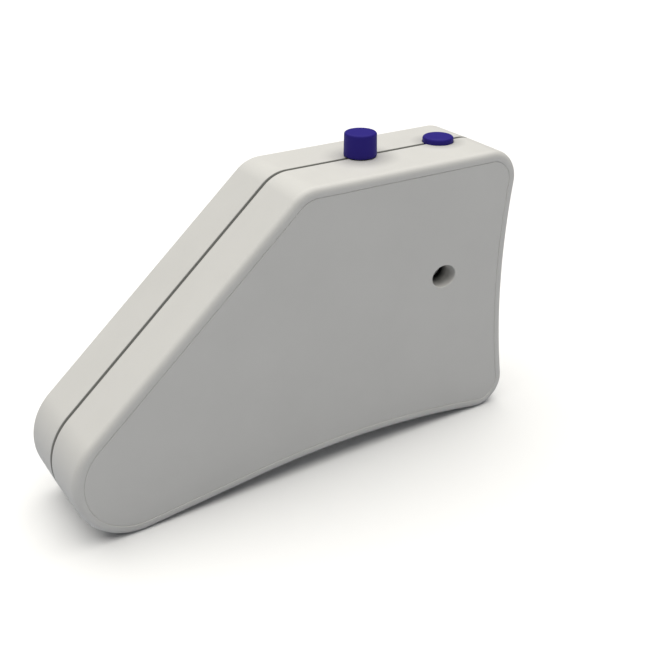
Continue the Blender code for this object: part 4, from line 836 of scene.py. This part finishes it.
def newMaterial(name):
    material = bpy.data.materials.new(name)
    material.use_nodes = True
    tree = material.node_tree
    shader = tree.nodes["Principled BSDF"]
    place = tree.nodes.new("ShaderNodeTexCoord")
    return material, tree, shader, place.outputs["Object"]


def feed(tree, socket, value):
    # a number or a colour is set on the socket, and anything else is linked to it
    if isinstance(value, tuple):
        socket.default_value = (*value, 1.0)
    elif isinstance(value, (int, float)):
        socket.default_value = value
    elif value is not None:
        tree.links.new(value, socket)


def dressed(tree, shader, colour, roughness, *layers):
    # colour, roughness and bumps; each bump layer is a height with its strength and depth
    feed(tree, shader.inputs["Base Color"], colour)
    feed(tree, shader.inputs["Roughness"], roughness)
    normal = None
    for height, strength, distance in layers:
        node = tree.nodes.new("ShaderNodeBump")
        node.inputs["Strength"].default_value = strength
        node.inputs["Distance"].default_value = distance
        feed(tree, node.inputs["Height"], height)
        feed(tree, node.inputs["Normal"], normal)
        normal = node.outputs["Normal"]
    feed(tree, shader.inputs["Normal"], normal)


def noiseOf(tree, vector, scale, detail=3.0, rough=0.55, stretch=None):
    if stretch:
        mapping = tree.nodes.new("ShaderNodeMapping")
        mapping.inputs["Scale"].default_value = stretch
        tree.links.new(vector, mapping.inputs["Vector"])
        vector = mapping.outputs["Vector"]
    node = tree.nodes.new("ShaderNodeTexNoise")
    node.inputs["Scale"].default_value = scale
    node.inputs["Detail"].default_value = detail
    node.inputs["Roughness"].default_value = rough
    tree.links.new(vector, node.inputs["Vector"])
    return node.outputs["Fac"]


def bandsOf(tree, vector, direction, scale, distortion=0.0):
    node = tree.nodes.new("ShaderNodeTexWave")
    node.bands_direction = direction
    node.inputs["Scale"].default_value = scale
    node.inputs["Distortion"].default_value = distortion
    tree.links.new(vector, node.inputs["Vector"])
    return node.outputs["Fac"]


def spread(tree, value, low, high, first, last):
    node = tree.nodes.new("ShaderNodeMapRange")
    for socket, number in zip(node.inputs[1:5], (low, high, first, last)):
        socket.default_value = number
    tree.links.new(value, node.inputs["Value"])
    return node.outputs["Result"]


def tint(colour, level):
    return tuple(part * level for part in colour)


def shades(tree, value, colour, *stops):
    # one colour, darker or paler along the value; each stop is a place and a level
    node = tree.nodes.new("ShaderNodeValToRGB")
    edges = node.color_ramp.elements
    while len(edges) < len(stops):
        edges.new(0.5)
    for edge, (place, level) in zip(edges, stops):
        edge.position = place
        edge.color = (*tint(colour, level), 1.0)
    tree.links.new(value, node.inputs["Fac"])
    return node.outputs["Color"]


def mixed(tree, share, first, second):
    node = tree.nodes.new("ShaderNodeMix")
    node.data_type = "RGBA"
    for socket, value in ((node.inputs[0], share), (node.inputs[6], first), (node.inputs[7], second)):
        feed(tree, socket, value)
    return node.outputs[2]


def mathOf(tree, operation, first, second=None):
    node = tree.nodes.new("ShaderNodeMath")
    node.operation = operation
    for socket, value in zip(node.inputs, (first, second)):
        feed(tree, socket, value)
    return node.outputs[0]


def partsOf(tree, vector):
    node = tree.nodes.new("ShaderNodeSeparateXYZ")
    tree.links.new(vector, node.inputs[0])
    return tuple(node.outputs)


def seamShade(tree, place):
    # painted shade: the walls of the seam are left dark
    depth = mathOf(tree, "ABSOLUTE", partsOf(tree, place)[1])
    darkest, clear = (case["seamGap"] / 2 + reach for reach in case["seamFade"])
    return spread(tree, depth, darkest, clear, 1.0, 0.0)


def portShade(tree, place):
    # painted shade that begins a little way into the sound port
    x, y, z = partsOf(tree, place)
    centre = stand @ Vector((port["place"][0] + port["shift"][0], 0, port["place"][1] + port["shift"][1]))
    squares = []
    for reach, middle, half in ((x, centre.x, port["halfWidth"]), (z, centre.z, port["halfHeight"])):
        share = mathOf(tree, "DIVIDE", mathOf(tree, "SUBTRACT", reach, middle), half)
        squares.append(mathOf(tree, "POWER", share, 2.0))
    inside = spread(tree, mathOf(tree, "ADD", *squares), *port["shadeEdge"], 1.0, 0.0)
    deep = spread(tree, y, port["shadeStart"], port["shadeEnd"], 0.0, 1.0)
    within = spread(tree, y, port["tubeEnd"], port["tubeEnd"] + case["overrun"], 1.0, 0.0)
    return mathOf(tree, "MULTIPLY", mathOf(tree, "MULTIPLY", inside, deep), within)


def contactShade(tree, place, control):
    # painted shade: the case is a little darker round each control, fading out with distance from its axis
    x, y, _ = partsOf(tree, place)
    middle = stand @ Vector((control["x"], 0, 0))
    lengthwise = mathOf(tree, "POWER", mathOf(tree, "SUBTRACT", x, middle.x), 2.0)
    crosswise = mathOf(tree, "POWER", y, 2.0)
    reach = mathOf(tree, "SQRT", mathOf(tree, "ADD", lengthwise, crosswise))
    return spread(tree, reach, control["shadeFrom"], control["shadeTo"], control["shadeShare"], 0.0)


shellLook = {
    "colour": (0.74, 0.73, 0.70),
    "roughness": 0.46,
    "shine": 0.35,
    "streaks": 0.03,
    "grain": 2600.0,
    "grainDepth": 0.04 * mm,
    "contactShadeLevel": 0.30,            # the colour's level in the painted shade round the controls
    # colours of the painted shade on the seam's walls and inside the sound port
    "seamShadeColour": (0.40, 0.40, 0.38),
    "portShadeColour": (0.012, 0.012, 0.012),
}
blueLook = {
    "colour": (0.030, 0.020, 0.232),
    "roughness": 0.50,
    "shine": 0.09,
    "streaks": 0.02,
    "grain": 2200.0,
    "grainDepth": 0.03 * mm,
}
resinLook = {"shine": 0.4, "streaks": 0.02, "grain": 3200.0, "grainDepth": 0.03 * mm}
plasticScales = {"cloud": 38.0, "speck": 900.0, "flow": 60.0, "handled": 90.0, "sink": 70.0}


def mouldedPlastic(name, look, paintedShade=False):
    material, tree, shader, place = newMaterial(name)
    colour, rough = look["colour"], look["roughness"]
    shader.inputs["Specular IOR Level"].default_value = look["shine"]
    cloud = noiseOf(tree, place, plasticScales["cloud"])
    speck = noiseOf(tree, place, plasticScales["speck"], 2.0)
    flow = noiseOf(tree, place, plasticScales["flow"], 4.0, 0.6, (1.0, 1.0, 0.18))
    body = shades(tree, cloud, colour, (0.30, 0.975), (0.55, 1), (0.80, 1.015))
    body = mixed(tree, spread(tree, speck, 0.62, 0.86, 0.0, 0.10), body, tint(colour, 0.90))
    body = mixed(tree, spread(tree, flow, 0.45, 0.85, 0.0, look["streaks"]), body, tint(colour, 0.88))
    # painted shade round the controls, on the seam's walls and inside the sound port
    if paintedShade:
        for control in (knob, button):
            body = mixed(tree, contactShade(tree, place, control), body, tint(colour, look["contactShadeLevel"]))
        body = mixed(tree, seamShade(tree, place), body, look["seamShadeColour"])
        body = mixed(tree, portShade(tree, place), body, look["portShadeColour"])
    handled = noiseOf(tree, place, plasticScales["handled"], 4.0, 0.6)
    grain = noiseOf(tree, place, look["grain"], 2.0, 0.5)
    sink = noiseOf(tree, place, plasticScales["sink"], 2.0, 0.4)
    dressed(tree, shader, body, spread(tree, handled, 0.3, 0.75, rough - 0.05, rough + 0.06),
            (sink, 0.06, 0.4 * mm), (grain, 0.35, look["grainDepth"]))
    return material


def resin(name, colour, roughness):
    return mouldedPlastic(name, {**resinLook, "colour": colour, "roughness": roughness})


def plated(name, colour, roughness):
    material, tree, shader, place = newMaterial(name)
    shader.inputs["Metallic"].default_value = 1.0
    brushed = noiseOf(tree, place, 900.0, 3.0, 0.6, (1.0, 1.0, 8.0))
    cloud = noiseOf(tree, place, 160.0)
    body = shades(tree, cloud, colour, (0.25, 0.86), (0.55, 1), (0.85, 1.08))
    dressed(tree, shader, body, spread(tree, brushed, 0.2, 0.8, roughness - 0.08, roughness + 0.10),
            (brushed, 0.12, 0.03 * mm))
    return material


boardLook = {
    "mask": (0.016, 0.115, 0.050),
    "runs": (0.030, 0.200, 0.085),
    "weave": (0.012, 0.085, 0.038),
    "runScale": 190.0,
    "weaveScale": 900.0,
}


def circuitBoard(name):
    # green mask with rounded copper runs just visible under it and a fine glass weave
    material, tree, shader, place = newMaterial(name)
    weave = bandsOf(tree, place, "X", boardLook["weaveScale"], 1.2)
    cells = tree.nodes.new("ShaderNodeTexVoronoi")
    cells.distance = "MANHATTAN"
    cells.inputs["Scale"].default_value = boardLook["runScale"]
    cells.inputs["Randomness"].default_value = 0.35
    tree.links.new(place, cells.inputs["Vector"])
    body = mixed(tree, spread(tree, cells.outputs["Distance"], 0.46, 0.50, 0.0, 0.55),
                 boardLook["mask"], boardLook["runs"])
    body = mixed(tree, spread(tree, weave, 0.2, 0.9, 0.0, 0.22), body, boardLook["weave"])
    dressed(tree, shader, body, spread(tree, noiseOf(tree, place, 120.0), 0.3, 0.8, 0.30, 0.42),
            (cells.outputs["Distance"], 0.15, 0.04 * mm), (weave, 0.10, 0.02 * mm))
    return material


def wound(name, colour):
    # fine turns of enamelled wire round the coil's axis, which runs along y
    material, tree, shader, place = newMaterial(name)
    shader.inputs["Metallic"].default_value = 0.85
    turns = bandsOf(tree, place, "Y", 1300.0, 0.3)
    body = shades(tree, turns, colour, (0.1, 0.55), (0.6, 1), (1.0, 1.1))
    dressed(tree, shader, body, 0.32, (turns, 0.5, 0.06 * mm))
    return material


def fibre(name, colour, scale, roughness, depth):
    material, tree, shader, place = newMaterial(name)
    threads = noiseOf(tree, place, scale, 5.0, 0.7)
    body = shades(tree, threads, colour, (0.25, 0.55), (0.5, 1), (0.8, 1.5))
    dressed(tree, shader, body, roughness, (threads, 0.7, depth))
    return material


def wovenCloth(name, colour, pitch=0.35 * mm):
    # an open acoustic weave: two crossing waves across the port
    material, tree, shader, place = newMaterial(name)
    shader.inputs["Specular IOR Level"].default_value = 0.45
    scale = 0.3183 / pitch     # at scale 1 the bands are about this far apart
    higher = mathOf(tree, "MAXIMUM", *[bandsOf(tree, place, direction, scale) for direction in ("X", "Z")])
    body = shades(tree, higher, colour, (0.3, 0.3), (0.7, 1), (1.0, 2.2))
    dressed(tree, shader, body, 0.75, (higher, 0.8, 0.1 * mm))
    return material


def sleeve(name, colour, roughness=0.32):
    material, tree, shader, place = newMaterial(name)
    cloud = noiseOf(tree, place, 260.0)
    body = shades(tree, cloud, colour, (0.3, 0.86), (0.6, 1), (0.9, 1.15))
    dressed(tree, shader, body, spread(tree, cloud, 0.3, 0.8, roughness - 0.05, roughness + 0.08),
            (noiseOf(tree, place, 1500.0, 2.0), 0.15, 0.03 * mm))
    return material


batteryLook = {
    "colour": (0.10, 0.11, 0.13),
    "bare": (0.46, 0.46, 0.47),
    "bandAt": 35.5 * mm,       # how far along the can its wrapping ends
    "metallic": 0.35,
}


def batteryCan(name):
    # a dark wrapped can whose terminal end is left as pale metal
    material, tree, shader, place = newMaterial(name)
    shader.inputs["Metallic"].default_value = batteryLook["metallic"]
    cloud = noiseOf(tree, place, 140.0)
    wrapped = shades(tree, cloud, batteryLook["colour"], (0.3, 0.85), (0.6, 1), (0.9, 1.16))
    metal = shades(tree, cloud, batteryLook["bare"], (0.3, 0.9), (0.8, 1))
    bayFrame = stand @ baseFrame
    lengthwise = bayFrame.col[0].xyz
    reach = tree.nodes.new("ShaderNodeVectorMath")
    reach.operation = "DOT_PRODUCT"
    reach.inputs[1].default_value = lengthwise
    tree.links.new(place, reach.inputs[0])
    edge = bayFrame.translation.dot(lengthwise) + bayAt["start"] + batteryLook["bandAt"]
    beyond = spread(tree, reach.outputs["Value"], edge, edge + 0.1 * mm, 0.0, 1.0)
    dressed(tree, shader, mixed(tree, beyond, wrapped, metal), spread(tree, cloud, 0.3, 0.8, 0.30, 0.42),
            (noiseOf(tree, place, 1800.0, 2.0), 0.12, 0.03 * mm))
    return material


# the device, piece by piece

finishes = {
    "shell_plastic": mouldedPlastic("shellPlastic", shellLook, paintedShade=True),
    "blue_plastic": mouldedPlastic("bluePlastic", blueLook),
    "black_resin": resin("blackResin", (0.020, 0.020, 0.022), 0.48),
    "cream_resin": resin("creamResin", (0.72, 0.68, 0.55), 0.5),
    "board_green": circuitBoard("boardGreen"),
    "zinc_steel": plated("zincSteel", (0.56, 0.57, 0.58), 0.34),
    "bright_metal": plated("brightMetal", (0.66, 0.66, 0.65), 0.26),
    "magnet_steel": plated("magnetSteel", (0.36, 0.37, 0.39), 0.42),
    "copper_wire": wound("copperWire", (0.72, 0.32, 0.18)),
    "battery_can": batteryCan("batteryCan"),
    "capacitor_sleeve": sleeve("capacitorSleeve", (0.030, 0.035, 0.060), 0.28),
    "cone_paper": fibre("conePaper", (0.090, 0.085, 0.080), 1400.0, 0.85, 0.08 * mm),
    "port_cloth": wovenCloth("portCloth", (0.42, 0.42, 0.43)),
    "soft_foam": fibre("softFoam", (0.050, 0.050, 0.055), 2400.0, 0.9, 0.1 * mm),
    "red_sleeve": sleeve("redSleeve", (0.55, 0.02, 0.02)),
    "black_sleeve": sleeve("blackSleeve", (0.015, 0.015, 0.016)),
}
for name, node in frame["nodes"].items():
    for holder in node.material_slots:
        slotName = holder.material.name.split(".")[0]
        if slotName not in finishes:
            print("no finish for", name, slotName)
            continue
        holder.material = finishes[slotName]
print("materials given to the carried-over nodes")

makeNearShell(finishes["shell_plastic"])
print("near half of the case made")
makeFarShell(finishes["shell_plastic"])
makeBatteryCover(finishes["shell_plastic"])
print("far half and battery cover made")
makeCaseScrews(finishes["zinc_steel"])
makeLevelKnob(finishes["blue_plastic"])
makeToneButton(finishes["blue_plastic"])
print("screws and controls made")


# the studio: pale floor, white surroundings, one broad soft light from above

studio = {
    "ambient": 0.093,
    "ambientColour": (0.93, 0.96, 1.0),
    "keyStrength": 3.25,
    "keyColour": (1.0, 0.985, 0.945),
    "keyFrom": (0.02, 0.08, 1.0),
    "keyAngle": math.radians(85),
    "floorReach": 3.0,
    "floorCamera": 1.02,       # the floor as the camera sees it, and as it lights the object
    "floorBounce": (0.585, 0.602, 0.645),
    "cameraPlace": (-157.0 * mm, -285.4 * mm, 107.3 * mm),
    "look": (0.47097, 0.76163, -0.44509),
    "right": (0.85052, -0.52594, 0.0),
    "up": (0.23409, 0.37856, 0.89548),
    "lens": 58.81,
    "sensor": 36.0,
    "clip": (0.01, 20.0),
}


def placed(name, data):
    thing = bpy.data.objects.new(name, data)
    bpy.context.scene.collection.objects.link(thing)
    return thing


def makeFloor():
    low, reach = min(cadBox[0][2], 0.0), studio["floorReach"]
    mesh = bpy.data.meshes.new("floor")
    corners = [(-reach, -reach, low), (reach, -reach, low), (reach, reach, low), (-reach, reach, low)]
    mesh.from_pydata(corners, [], [(0, 1, 2, 3)])
    material = bpy.data.materials.new("paleFloor")
    material.use_nodes = True
    tree = material.node_tree
    tree.nodes.remove(tree.nodes["Principled BSDF"])
    shader = tree.nodes.new("ShaderNodeBsdfDiffuse")
    rays = tree.nodes.new("ShaderNodeLightPath")
    colour = mixed(tree, rays.outputs["Is Camera Ray"], studio["floorBounce"], (studio["floorCamera"],) * 3)
    tree.links.new(colour, shader.inputs["Color"])
    tree.links.new(shader.outputs["BSDF"], tree.nodes["Material Output"].inputs["Surface"])
    mesh.materials.append(material)
    placed("floor", mesh)


def makeLight():
    world = bpy.data.worlds.new("studio")
    bpy.context.scene.world = world
    world.use_nodes = True
    tree = world.node_tree
    rays = tree.nodes.new("ShaderNodeLightPath")
    dim = tint(studio["ambientColour"], studio["ambient"])
    colour = mixed(tree, rays.outputs["Is Camera Ray"], dim, (1.0, 1.0, 1.0))
    tree.links.new(colour, tree.nodes["Background"].inputs["Color"])
    light = bpy.data.lights.new("key", "SUN")
    light.energy = studio["keyStrength"]
    light.angle = studio["keyAngle"]
    light.color = studio["keyColour"]
    placed("key", light).rotation_euler = Vector(studio["keyFrom"]).to_track_quat("Z", "Y").to_euler()


def makeCamera():
    camera = placed("camera", bpy.data.cameras.new("camera"))
    axes = Matrix([studio["right"], studio["up"], [-part for part in studio["look"]]]).transposed().to_4x4()
    camera.matrix_world = stand @ Matrix.Translation(studio["cameraPlace"]) @ axes
    camera.data.lens = studio["lens"]
    camera.data.sensor_width = studio["sensor"]
    camera.data.clip_start, camera.data.clip_end = studio["clip"]
    bpy.context.scene.camera = camera
    bpy.context.scene.view_settings.view_transform = "Standard"


makeFloor()
makeLight()
makeCamera()
print("studio set")
